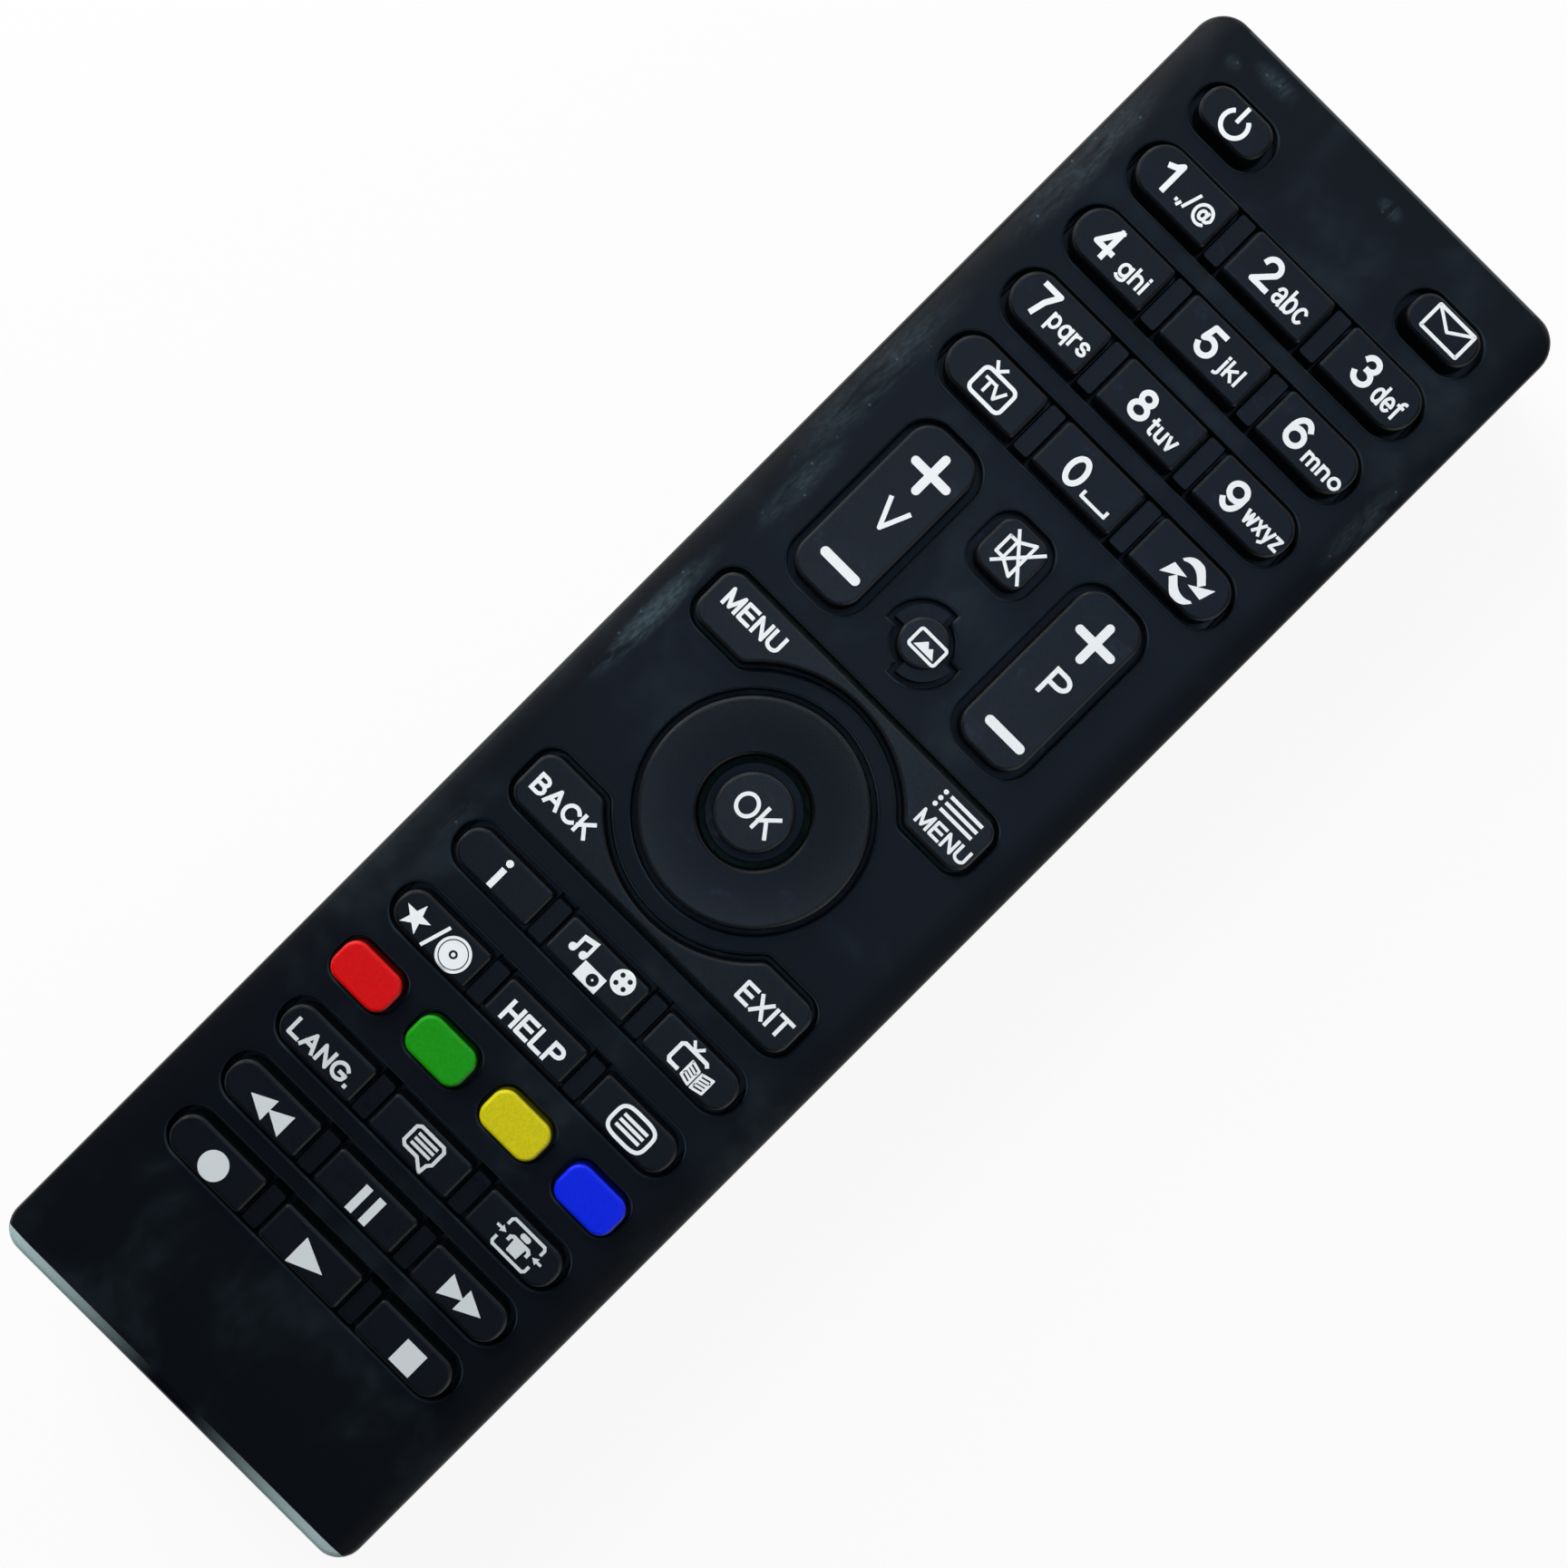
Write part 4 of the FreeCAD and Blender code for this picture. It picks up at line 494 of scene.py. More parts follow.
class Finish:
    """A material in the making: a Principled shader, the object's own places and the effects."""

    made_effects = {}

    def __init__(self, name, **values):
        self.material = bpy.data.materials.new(name)
        self.material.use_nodes = True
        self.tree = self.material.node_tree
        self.shader = self.tree.nodes["Principled BSDF"]
        self.place = self.tree.nodes.new("ShaderNodeTexCoord").outputs["Object"]
        parts = add_node(self.tree, "ShaderNodeSeparateXYZ", {0: self.place})
        self.x, self.y, self.z = (parts.outputs[axis] for axis in "XYZ")
        for label, value in values.items():
            self.shader.inputs[SOCKETS[label]].default_value = value

    def use(self, kind, **wires):
        """An effect, with its own values."""
        if kind not in Finish.made_effects:
            Finish.made_effects[kind] = EFFECTS[kind]()
        group = self.tree.nodes.new("ShaderNodeGroup")
        group.node_tree = Finish.made_effects[kind]
        self.tree.links.new(self.place, group.inputs["Place"])
        for label, source in wires.items():
            socket = group.inputs[label.title()]
            if isinstance(source, bpy.types.NodeSocket):
                self.tree.links.new(source, socket)
            else:
                socket.default_value = source
        return group.outputs

    def times(self, first, second):
        """First times second."""
        return calculate(self.tree, "MULTIPLY", first, second)

    def minus(self, first, second):
        """First minus second."""
        return calculate(self.tree, "SUBTRACT", first, second)

    def larger(self, first, second):
        """The larger of the two."""
        return calculate(self.tree, "MAXIMUM", first, second)

    def under(self, first, second):
        """1 where first is under second, 0 elsewhere."""
        return calculate(self.tree, "LESS_THAN", first, second)

    def over(self, first, second):
        """1 where first is over second, 0 elsewhere."""
        return calculate(self.tree, "GREATER_THAN", first, second)

    def unsigned(self, source):
        """A value without its sign."""
        return calculate(self.tree, "ABSOLUTE", source)

    def ramp(self, source, low, high, start=0.0, end=1.0):
        """A smooth step in this material."""
        return ramp(self.tree, source, low, high, start, end)

    def blend(self, share, first, second):
        """A blend of two colours in this material."""
        return blend_colours(self.tree, share, first, second)

    def wire(self, **sockets):
        """Wires the shader's named inputs and gives the finished material."""
        for label, socket in sockets.items():
            self.tree.links.new(socket, self.shader.inputs[SOCKETS[label]])
        return self.material


def dress(material, nodes):
    """Gives the material to every slot of these CAD nodes."""
    for name in nodes:
        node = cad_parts[name]
        if not node.material_slots:
            raise RuntimeError(name + " has no material slot")
        for slot in node.material_slots:
            slot.material = material


def case_plastic(look):
    """Satin black plastic: fine grain, smears where it is held and painted reflections along its
    crowned edges, a painted highlight as a light line on the rims of the slots, which are also
    rubbed glossier, a painted reflection strip on the polished edge at the tail end, and a dark
    joint line where the two halves meet."""
    finish = Finish("case_plastic", shine=look.shine)
    grain = finish.use("grain", size=look.grain, depth=look.grain_depth)
    masks = []
    # patches of smears where the case is held, and of painted reflections and a painted highlight
    # along the crowned edges
    for middle, reach, strength in SMEAR_AND_REFLECTION_PLACES:
        patch = finish.use(
            "patch",
            middle=(middle[0] * MM, middle[1] * MM, FACE_HEIGHT),
            reach=(reach[0] * MM, reach[1] * MM, SMEAR_AND_REFLECTION_DEPTH),
            strength=strength,
        )
        masks.append(patch["Mask"])
    worn = masks[0]
    for mask in masks[1:]:
        worn = finish.larger(worn, mask)
    streaks = finish.use("smear", size=3.5 * MM, streak=(2.2, 0.55, 1.0), cover=0.9)
    film = finish.use("smear", size=16 * MM, streak=(1.0, 0.8, 1.0), cover=0.62)
    specks = finish.use("speck", spacing=1.7 * MM, share=0.3)
    smear = finish.times(worn, streaks["Mask"])
    thin = finish.times(film["Mask"], FILM_SHARE)
    smear = finish.larger(smear, thin)
    dusty = finish.times(specks["Mask"], finish.ramp(worn, *DUST_BAND, 0.0, DUST_SHARE))
    smear = finish.larger(smear, dusty)
    tone = finish.ramp(grain["Tone"], 0.3, 0.7, 0.9, 1.1)
    tone = finish.times(tone, GRAIN_SHARE)
    plain = finish.blend(tone, rgba(look.plastic), rgba(look.smear))
    # painted highlight: the slots' rims take the smear colour as a light line on every side, and
    # are also rubbed glossier
    rim = finish.ramp(finish.z, FACE_HEIGHT - RIM_DEPTH, FACE_HEIGHT - RIM_DEPTH / 2)
    below = finish.under(finish.z, FACE_HEIGHT - RIM_TOP)
    rim = finish.times(rim, below)
    flat = finish.under(finish.unsigned(finish.x), FLAT_REACH)
    rim = finish.times(rim, flat)
    smear = finish.larger(smear, finish.times(rim, RIM_HIGHLIGHT_SHARE))
    colour = finish.blend(smear, plain, rgba(look.smear))
    roughness = finish.ramp(smear, 0.0, 1.0, look.gloss, look.worn_gloss)
    rubbed = finish.times(rim, RIM_POLISH)
    roughness = finish.minus(roughness, rubbed)

    # painted reflection: a light strip along the top edge of the tail end, dark in the middle and
    # lighter to each side, also made glossier there
    strip = finish.under(finish.y, TAIL_END + look.reflection_strip_width)
    above = finish.ramp(finish.z, FACE_HEIGHT - EDGE_DEPTH, FACE_HEIGHT - EDGE_DEPTH / 2)
    strip = finish.times(strip, above)
    aside = finish.ramp(finish.unsigned(finish.x), *STRIP_FADE)
    sheen = finish.blend(aside, rgba(look.plastic), rgba(look.strip))
    colour = finish.blend(strip, colour, sheen)
    polish = finish.times(aside, look.gloss - STRIP_GLOSS)
    polish = finish.times(strip, polish)
    roughness = finish.minus(roughness, polish)

    beside = finish.unsigned(finish.minus(finish.z, SPLIT_HEIGHT))
    flush = finish.ramp(beside, SEAM / 4, SEAM / 2)
    colour = finish.blend(flush, (0, 0, 0, 1), colour)
    groove = add_node(
        finish.tree,
        "ShaderNodeBump",
        {"Strength": 1.0, "Distance": SEAM / 2, "Height": flush, "Normal": grain["Normal"]},
    )
    return finish.wire(base_color=colour, roughness=roughness, normal=groove.outputs["Normal"])


def window_plastic(look):
    """Near-black glossy plastic that only infrared passes, faintly red where it is thin."""
    finish = Finish("window_plastic")
    grain = finish.use("grain", size=0.5 * MM, depth=0.001 * MM)
    cloud = finish.use("smear", size=5 * MM, streak=(1.0, 1.0, 1.0), cover=0.4)
    deep = toned(look.window, 0.4)
    colour = finish.blend(cloud["Mask"], rgba(deep), rgba(look.window))
    roughness = finish.ramp(cloud["Mask"], 0.0, 1.0, 0.1, 0.22)
    return finish.wire(base_color=colour, roughness=roughness, normal=grain["Normal"])


def rubber(look, name, colour, grime, wall_shade):
    """Satin silicone rubber with a fine texture, a little skin oil, and painted shade that darkens
    its walls below its crown; its pills are carbon."""
    finish = Finish(name, shine=look.shine)
    grain = finish.use("grain", size=look.grain, depth=look.grain_depth)
    smear = finish.use("smear", size=4.5 * MM, streak=(1.0, 1.4, 1.0), cover=0.55)
    pale = tuple(min(part * 1.5 + 0.004, 1.0) for part in colour)
    dark = toned(colour, 0.78)
    tone = finish.blend(finish.ramp(grain["Tone"], 0.32, 0.68), rgba(dark), rgba(pale))
    tone = finish.blend(finish.ramp(grain["Tone"], 0.0, 1.0, 0.75, 0.85), tone, rgba(colour))
    oily = finish.times(smear["Mask"], grime)
    tone = finish.blend(oily, tone, rgba(pale))
    used = finish.use("patch", middle=THUMB_MIDDLE, reach=THUMB_REACH, strength=THUMB_SHARE)
    speckle = finish.ramp(grain["Tone"], 0.35, 0.7, 0.6, 1.0)
    tone = finish.blend(finish.times(used["Mask"], speckle), tone, rgba(look.film))
    # painted shade: below the rounding of its top a key, and the sheet between the keys, is
    # darkened to this share of its colour
    deep = toned(colour, wall_shade)
    crown = finish.ramp(finish.z, KEY_TOP - KEY_ROUND * MM, KEY_TOP - 0.04 * KEY_ROUND * MM)
    tone = finish.blend(crown, rgba(deep), tone)
    pill = finish.under(finish.z, PILL_TOP)
    shade = finish.blend(pill, tone, rgba(look.carbon))
    roughness = finish.ramp(smear["Mask"], 0.0, 1.0, look.gloss, look.gloss - OIL_POLISH)
    return finish.wire(base_color=shade, roughness=roughness, normal=grain["Normal"])


def ink(name, colour):
    """Pad-printed ink: nearly flat colour, a little thinner in places."""
    finish = Finish(name, roughness=0.5)
    grain = finish.use("grain", size=0.18 * MM, depth=0.004 * MM)
    thin = finish.use("smear", size=1.6 * MM, streak=(1.0, 1.0, 1.0), cover=0.35)
    rubbed = toned(colour, 0.72)
    share = finish.times(thin["Mask"], 0.6)
    tone = finish.blend(share, rgba(colour), rgba(rubbed))
    return finish.wire(base_color=tone, normal=grain["Normal"])


def board_laminate(look):
    """Paper laminate: brown edges, lacquered tracks on the side that the chip is on."""
    finish = Finish("board_laminate", roughness=0.5)
    grain = finish.use("grain", size=0.4 * MM, depth=0.006 * MM)
    square = add_node(
        finish.tree,
        "ShaderNodeTexBrick",
        {
            "Vector": finish.place,
            "Scale": 1.0,
            "Mortar Size": 0.22 * MM,
            "Brick Width": 9.0 * MM,
            "Row Height": 2.2 * MM,
            "Color1": rgba(look.lacquer),
            "Color2": rgba(toned(look.lacquer, 0.7)),
            "Mortar": rgba(toned(look.lacquer, 0.35)),
        },
    )
    fibres = finish.use("smear", size=2.5 * MM, streak=(0.3, 2.0, 1.0), cover=0.6)
    dark = toned(look.laminate, 0.7)
    brown = finish.blend(fibres["Mask"], rgba(look.laminate), rgba(dark))
    low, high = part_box("circuit_board")
    faces = finish.minus(finish.z, (low.z + high.z) / 2)
    outer = finish.over(finish.unsigned(faces), (high.z - low.z) / 2 - BOARD_SKIN)
    colour = finish.blend(outer, brown, square.outputs["Color"])
    return finish.wire(base_color=colour, normal=grain["Normal"])


def cell_jacket(look):
    """A plain printed jacket with a pale band at the button end, bare steel at both ends."""
    finish = Finish("cell_jacket", roughness=0.3)
    grain = finish.use("grain", size=0.6 * MM, depth=0.003 * MM)
    scuff = finish.use("smear", size=4 * MM, streak=(1.0, 0.5, 1.0), cover=0.5)
    low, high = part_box("battery_1")
    other_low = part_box("battery_2")[0]
    is_first = finish.under(finish.x, 0.0)
    from_first = finish.minus(high.y, finish.y)
    from_other = finish.minus(finish.y, other_low.y)
    first = finish.times(from_first, is_first)
    other = finish.times(from_other, finish.minus(1.0, is_first))
    along = calculate(finish.tree, "ADD", first, other)
    length = high.y - low.y
    band = finish.under(along, BAND_SHARE * length)
    jacket = finish.blend(band, rgba(look.jacket), rgba(look.band))
    worn = toned(look.jacket, 0.75)
    jacket = finish.blend(finish.times(scuff["Mask"], 0.4), jacket, rgba(worn))
    bare = finish.larger(finish.under(along, CELL_BUTTON), finish.over(along, length - CELL_RIM))
    colour = finish.blend(bare, jacket, rgba(look.steel))
    return finish.wire(base_color=colour, metallic=bare, normal=grain["Normal"])


def plated_steel(look):
    """Nickel-plated spring steel with faint rolling lines."""
    finish = Finish("plated_steel", metallic=1.0)
    grain = finish.use("grain", size=0.25 * MM, depth=0.002 * MM)
    lines = finish.use("smear", size=1.2 * MM, streak=(0.2, 3.0, 3.0), cover=0.6)
    dull = toned(look.steel, 0.7)
    colour = finish.blend(lines["Mask"], rgba(look.steel), rgba(dull))
    roughness = finish.ramp(lines["Mask"], 0.0, 1.0, 0.22, 0.4)
    return finish.wire(base_color=colour, roughness=roughness, normal=grain["Normal"])


def lamp_epoxy(look):
    """Clear bluish epoxy, its leads tinned."""
    finish = Finish("lamp_epoxy", transmission=0.6, bending=1.54)
    grain = finish.use("grain", size=0.8 * MM, depth=0.001 * MM)
    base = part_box("ir_lamp")[1].y - LAMP_DOME
    lead = finish.under(finish.y, base)
    colour = finish.blend(lead, rgba(look.lamp), rgba(look.steel))
    roughness = finish.ramp(grain["Tone"], 0.0, 1.0, 0.05, 0.12)
    return finish.wire(base_color=colour, roughness=roughness, normal=grain["Normal"])


def moulded_block(name, colour, gloss, size):
    """An electronic component's coating, slightly uneven. Gives the finish, the coating's colour
    and the sockets that its roughness and normal come from."""
    finish = Finish(name)
    grain = finish.use("grain", size=size, depth=size * 0.03)
    cloud = finish.use("smear", size=size * 8, streak=(1.0, 1.0, 1.0), cover=0.5)
    dark = toned(colour, 0.7)
    tone = finish.blend(cloud["Mask"], rgba(colour), rgba(dark))
    roughness = finish.ramp(cloud["Mask"], 0.0, 1.0, gloss, gloss + 0.15)
    return finish, tone, {"roughness": roughness, "normal": grain["Normal"]}


def chip_epoxy(look):
    """Matt black epoxy with tinned legs."""
    finish, tone, wires = moulded_block("chip_epoxy", look.chip, 0.55, 0.2 * MM)
    low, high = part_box("control_chip")
    middle = (low.x + high.x) / 2
    aside = finish.unsigned(finish.minus(finish.x, middle))
    leg = finish.over(aside, (high.x - low.x) / 2 - CHIP_LEG)
    colour = finish.blend(leg, tone, rgba(look.steel))
    return finish.wire(base_color=colour, metallic=leg, **wires)


def coated_block(name, colour, gloss, size):
    """A component that shows its coating alone."""
    finish, tone, wires = moulded_block(name, colour, gloss, size)
    return finish.wire(base_color=tone, **wires)


def capacitor_sleeve(look):
    """A shrunk plastic sleeve with a pale stripe along one side, bare metal at its top."""
    finish, tone, wires = moulded_block("capacitor_sleeve", look.sleeve, 0.25, 0.4 * MM)
    low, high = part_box("capacitor")
    stripe = finish.under(finish.y, low.y + STRIPE_WIDTH)
    bare = finish.over(finish.x, high.x - CAPACITOR_TOP)
    colour = finish.blend(stripe, tone, rgba(look.stripe))
    colour = finish.blend(bare, colour, rgba(look.steel))
    return finish.wire(base_color=colour, metallic=bare, **wires)


# letters drawn with an even stroke, capitals one unit high. A stroke is a row of points (x, y) and
# of arcs (x, y, reach across, reach up, start angle, end angle)
LETTERS = {
    "0": [[(0.27, 0.5, 0.27, 0.5, 90, 450)]],
    "1": [[(0.0, 0.74), (0.13, 0.82), (0.24, 1.0), (0.24, 0.0)]],
    "2": [[(0.27, 0.72, 0.27, 0.28, 172, -28), (0.0, 0.0), (0.56, 0.0)]],
    "3": [[(0.26, 0.765, 0.23, 0.235, 160, -90)], [(0.26, 0.265, 0.27, 0.265, 90, -162)]],
    "4": [[(0.58, 0.27), (0.0, 0.27), (0.42, 1.0)], [(0.42, 1.0), (0.42, 0.0)]],
    "5": [[(0.51, 1.0), (0.12, 1.0), (0.03, 0.5), (0.27, 0.31, 0.27, 0.31, 130, -160)]],
    "6": [
        [(0.29, 0.5, 0.27, 0.5, 42, 180), (0.02, 0.31)],
        [(0.28, 0.31, 0.26, 0.31, 90, 450)],
    ],
    "7": [[(0.0, 1.0), (0.54, 1.0), (0.3, 0.5), (0.2, 0.0)]],
    "8": [[(0.28, 0.77, 0.22, 0.23, -90, 270)], [(0.28, 0.27, 0.28, 0.27, 90, 450)]],
    "9": [
        [(0.25, 0.5, 0.27, 0.5, -138, 0), (0.52, 0.69)],
        [(0.26, 0.69, 0.26, 0.31, 90, 450)],
    ],
    "a": [
        [(0.22, 0.51, 0.2, 0.22, 165, 0), (0.42, 0.12), (0.46, 0.0)],
        [(0.41, 0.42), (0.2, 0.37), (0.18, 0.19, 0.18, 0.18, 110, 340), (0.41, 0.2)],
    ],
    "b": [[(0.0, 1.0), (0.0, 0.0)], [(0.24, 0.36, 0.23, 0.36, 90, 450)]],
    "c": [[(0.24, 0.36, 0.24, 0.36, 42, 318)]],
    "d": [[(0.47, 1.0), (0.47, 0.0)], [(0.23, 0.36, 0.23, 0.36, 90, 450)]],
    "e": [[(0.0, 0.36), (0.48, 0.36), (0.24, 0.36, 0.24, 0.36, 0, 318)]],
    "f": [[(0.12, 0.0), (0.28, 0.82, 0.16, 0.18, 180, 85)], [(0.0, 0.72), (0.27, 0.72)]],
    "g": [
        [(0.47, 0.72), (0.24, -0.08, 0.23, 0.2, 0, -150)],
        [(0.23, 0.36, 0.23, 0.36, 90, 450)],
    ],
    "h": [[(0.0, 1.0), (0.0, 0.0)], [(0.21, 0.49, 0.21, 0.23, 180, 0), (0.42, 0.0)]],
    "i": [[(0.0, 0.72), (0.0, 0.0)], [(0.0, 1.0), (0.0, 0.98)]],
    "j": [[(0.1, 0.72), (-0.04, -0.12, 0.14, 0.16, 0, -90)], [(0.1, 1.0), (0.1, 0.98)]],
    "k": [[(0.0, 1.0), (0.0, 0.0)], [(0.4, 0.72), (0.0, 0.28)], [(0.15, 0.44), (0.44, 0.0)]],
    "l": [[(0.0, 1.0), (0.0, 0.0)]],
    "m": [
        [(0.0, 0.72), (0.0, 0.0)],
        [(0.17, 0.53, 0.17, 0.19, 180, 0), (0.34, 0.0)],
        [(0.51, 0.53, 0.17, 0.19, 180, 0), (0.68, 0.0)],
    ],
    "n": [[(0.0, 0.72), (0.0, 0.0)], [(0.21, 0.49, 0.21, 0.23, 180, 0), (0.42, 0.0)]],
    "o": [[(0.25, 0.36, 0.25, 0.36, 90, 450)]],
    "p": [[(0.0, 0.72), (0.0, -0.28)], [(0.24, 0.36, 0.23, 0.36, 90, 450)]],
    "q": [[(0.47, 0.72), (0.47, -0.28)], [(0.23, 0.36, 0.23, 0.36, 90, 450)]],
    "r": [[(0.0, 0.72), (0.0, 0.0)], [(0.24, 0.44, 0.24, 0.28, 180, 85)]],
    "s": [[(0.2, 0.54, 0.19, 0.18, 20, 270), (0.2, 0.18, 0.2, 0.18, 90, -160)]],
    "t": [[(0.12, 0.95), (0.27, 0.16, 0.15, 0.16, 180, 275)], [(0.0, 0.72), (0.28, 0.72)]],
    "u": [[(0.0, 0.72), (0.21, 0.23, 0.21, 0.23, 180, 360)], [(0.42, 0.72), (0.42, 0.0)]],
    "v": [[(0.0, 0.72), (0.22, 0.0), (0.44, 0.72)]],
    "w": [[(0.0, 0.72), (0.17, 0.0), (0.34, 0.72), (0.51, 0.0), (0.68, 0.72)]],
    "x": [[(0.0, 0.72), (0.42, 0.0)], [(0.42, 0.72), (0.0, 0.0)]],
    "y": [[(0.0, 0.72), (0.23, 0.0)], [(0.46, 0.72), (0.18, -0.2), (0.04, -0.28)]],
    "z": [[(0.02, 0.72), (0.4, 0.72), (0.0, 0.0), (0.42, 0.0)]],
    ".": [[(0.0, 0.0), (0.0, 0.02)]],
    ",": [[(0.0, 0.02), (-0.05, -0.14)]],
    "/": [[(0.0, 0.0), (0.3, 1.0)]],
    "@": [
        [(0.49, 0.38, 0.18, 0.24, 90, 450)],
        [(0.7, 0.64), (0.66, 0.3), (0.74, 0.17), (0.88, 0.22), (0.5, 0.4, 0.5, 0.56, 0, 305)],
    ],
    "A": [[(0.0, 0.0), (0.33, 1.0), (0.66, 0.0)], [(0.12, 0.33), (0.54, 0.33)]],
    "B": [
        [(0.0, 1.0), (0.0, 0.0)],
        [(0.0, 1.0), (0.28, 0.77, 0.22, 0.23, 90, -90), (0.0, 0.54)],
        [(0.0, 0.54), (0.3, 0.27, 0.25, 0.27, 90, -90), (0.0, 0.0)],
    ],
    "C": [[(0.36, 0.5, 0.36, 0.5, 40, 320)]],
    "E": [[(0.52, 1.0), (0.0, 1.0), (0.0, 0.0), (0.54, 0.0)], [(0.0, 0.53), (0.48, 0.53)]],
    "G": [[(0.37, 0.5, 0.37, 0.5, 42, 320), (0.7, 0.45), (0.4, 0.45)]],
    "H": [[(0.0, 1.0), (0.0, 0.0)], [(0.56, 1.0), (0.56, 0.0)], [(0.0, 0.53), (0.56, 0.53)]],
    "I": [[(0.0, 1.0), (0.0, 0.0)]],
    "K": [[(0.0, 1.0), (0.0, 0.0)], [(0.54, 1.0), (0.0, 0.36)], [(0.2, 0.6), (0.58, 0.0)]],
    "L": [[(0.0, 1.0), (0.0, 0.0), (0.48, 0.0)]],
    "M": [[(0.0, 0.0), (0.0, 1.0), (0.33, 0.04), (0.66, 1.0), (0.66, 0.0)]],
    "N": [[(0.0, 0.0), (0.0, 1.0), (0.56, 0.0), (0.56, 1.0)]],
    "O": [[(0.37, 0.5, 0.37, 0.5, 90, 450)]],
    "P": [[(0.0, 0.0), (0.0, 1.0)], [(0.0, 1.0), (0.3, 0.74, 0.25, 0.26, 90, -90), (0.0, 0.48)]],
    "T": [[(0.0, 1.0), (0.6, 1.0)], [(0.3, 1.0), (0.3, 0.0)]],
    "U": [[(0.0, 1.0), (0.28, 0.3, 0.28, 0.3, 180, 360), (0.56, 1.0)]],
    "V": [[(0.0, 1.0), (0.32, 0.0), (0.64, 1.0)]],
    "X": [[(0.0, 0.0), (0.58, 1.0)], [(0.0, 1.0), (0.58, 0.0)]],
}
LETTER_GAP = 0.25

# the stroke widths of the digits, the words and the small letters, in millimetres
Pens = namedtuple("Pens", "thick middle thin")

# how the legends are drawn: the cosine of the turn that counts as a sharp corner, the corners of
# the disc that joins two strips there, the degrees between two points of a letter's arc, the
# least step between two points, and how many points a whole circle, an arc, a rounded corner, a
# round end and each side of a holed shape have
SHARP_COSINE = 0.6
JOINT_CORNERS = 16
ARC_DEGREES = 12
LEAST_STEP = 1e-4
CIRCLE_POINTS = 48
ARC_POINTS = 40
CORNER_POINTS = 6
END_POINTS = 12
SIDE_POINTS = 24

# marks that cross lie at different heights: the share by which one is higher, and how many heights
# there are. Past the flat of a key a mark is cut this often, as far as this share of the rounding
HEIGHT_STEP = 0.07
HEIGHTS = 7
BEND_CUTS = 5
BEND_REACH = 0.9
BEND_LIMIT = 0.95


# flat shapes of the legends, in millimetres from the middle of a key's top; each gives points
# with a height of 0 for the underside and 1 for the top, and the faces between them


def joined_loops(rows, closed):
    """A strip whose cross-sections are the rows, four points each, capped when it is open. Each
    side is a grid of quads between one corner of all the rows and the next corner."""
    count = len(rows)
    numbers = np.arange(count * 4).reshape(count, 4)
    starts = numbers if closed else numbers[:-1]
    ends = np.roll(numbers, -1, axis=0) if closed else numbers[1:]
    corners = [starts, ends, np.roll(ends, -1, axis=1), np.roll(starts, -1, axis=1)]
    faces = np.stack(corners, axis=2).reshape(-1, 4).tolist()
    if not closed:
        faces += [numbers[0].tolist(), numbers[-1][::-1].tolist()]
    return rows.reshape(-1, 3), faces


def band(left_edge, right_edge, closed=False):
    """A flat strip between two edges with the same number of points."""
    rows = np.zeros((len(left_edge), 4, 3))
    rows[:, 0, :2] = rows[:, 3, :2] = left_edge
    rows[:, 1, :2] = rows[:, 2, :2] = right_edge
    rows[:, 2:, 2] = 1
    return joined_loops(rows, closed)


def strip(path, width, closed=False):
    """A flat strip of even width along a path without sharp corners. Each point moves to both
    sides along the normal of the mean direction there, by half the width over the cosine of half
    the turn."""
    path = np.array(path, float)
    ahead = np.roll(path, -1, axis=0) - path
    behind = path - np.roll(path, 1, axis=0)
    if not closed:
        ahead[-1], behind[0] = behind[-1], ahead[0]
    ahead /= np.linalg.norm(ahead, axis=1, keepdims=True)
    behind /= np.linalg.norm(behind, axis=1, keepdims=True)
    mean = ahead + behind
    mean /= np.linalg.norm(mean, axis=1, keepdims=True)
    normal = np.stack([-mean[:, 1], mean[:, 0]], axis=1)
    spread = width / 2 / (mean * ahead).sum(axis=1, keepdims=True)
    return band(path + normal * spread, path - normal * spread, closed)


def line(path, width, closed=False):
    """Strips along a path, one for each stretch between its sharp corners, and a disc at each of
    those."""
    path = np.array(path, float)
    if closed:
        path = np.concatenate([path, path[:1]])
    ways = np.diff(path, axis=0)
    ways /= np.linalg.norm(ways, axis=1, keepdims=True)
    turns = (ways[:-1] * ways[1:]).sum(axis=1)
    sharp = [int(number) + 1 for number in np.flatnonzero(turns < SHARP_COSINE)]
    if closed and not sharp:
        return [strip(path[:-1], width, closed=True)]
    marks = []
    for start, end in zip([0] + sharp, sharp + [len(path) - 1]):
        marks.append(strip(path[start : end + 1], width))
    joints = sharp + [0] if closed else sharp
    for number in joints:
        marks += disc(*path[number], width / 2, JOINT_CORNERS)
    return marks


def turn_points(x, y, radius, start, end, steps):
    """Points on a circle about (x, y), at even angles in degrees."""
    angle = np.radians(np.linspace(start, end, steps))
    return np.stack([x + radius * np.cos(angle), y + radius * np.sin(angle)], axis=1)


def arc(x, y, radius, start, end, width):
    """A strip along part of a circle."""
    return [strip(turn_points(x, y, radius, start, end, ARC_POINTS), width)]


def ring(x, y, radius, width):
    """A strip along a whole circle."""
    points = turn_points(x, y, radius, 0, 360, CIRCLE_POINTS + 1)
    return [strip(points[:-1], width, closed=True)]


def rounded(left, right, low, high, radius):
    """The outline of a rectangle with a quarter circle at each corner."""
    corners = [
        turn_points(right - radius, low + radius, radius, -90, 0, CORNER_POINTS),
        turn_points(right - radius, high - radius, radius, 0, 90, CORNER_POINTS),
        turn_points(left + radius, high - radius, radius, 90, 180, CORNER_POINTS),
        turn_points(left + radius, low + radius, radius, 180, 270, CORNER_POINTS),
    ]
    return np.concatenate(corners)


def border(left, right, low, high, radius, width):
    """A strip round a rounded rectangle."""
    return [strip(rounded(left, right, low, high, radius), width, closed=True)]


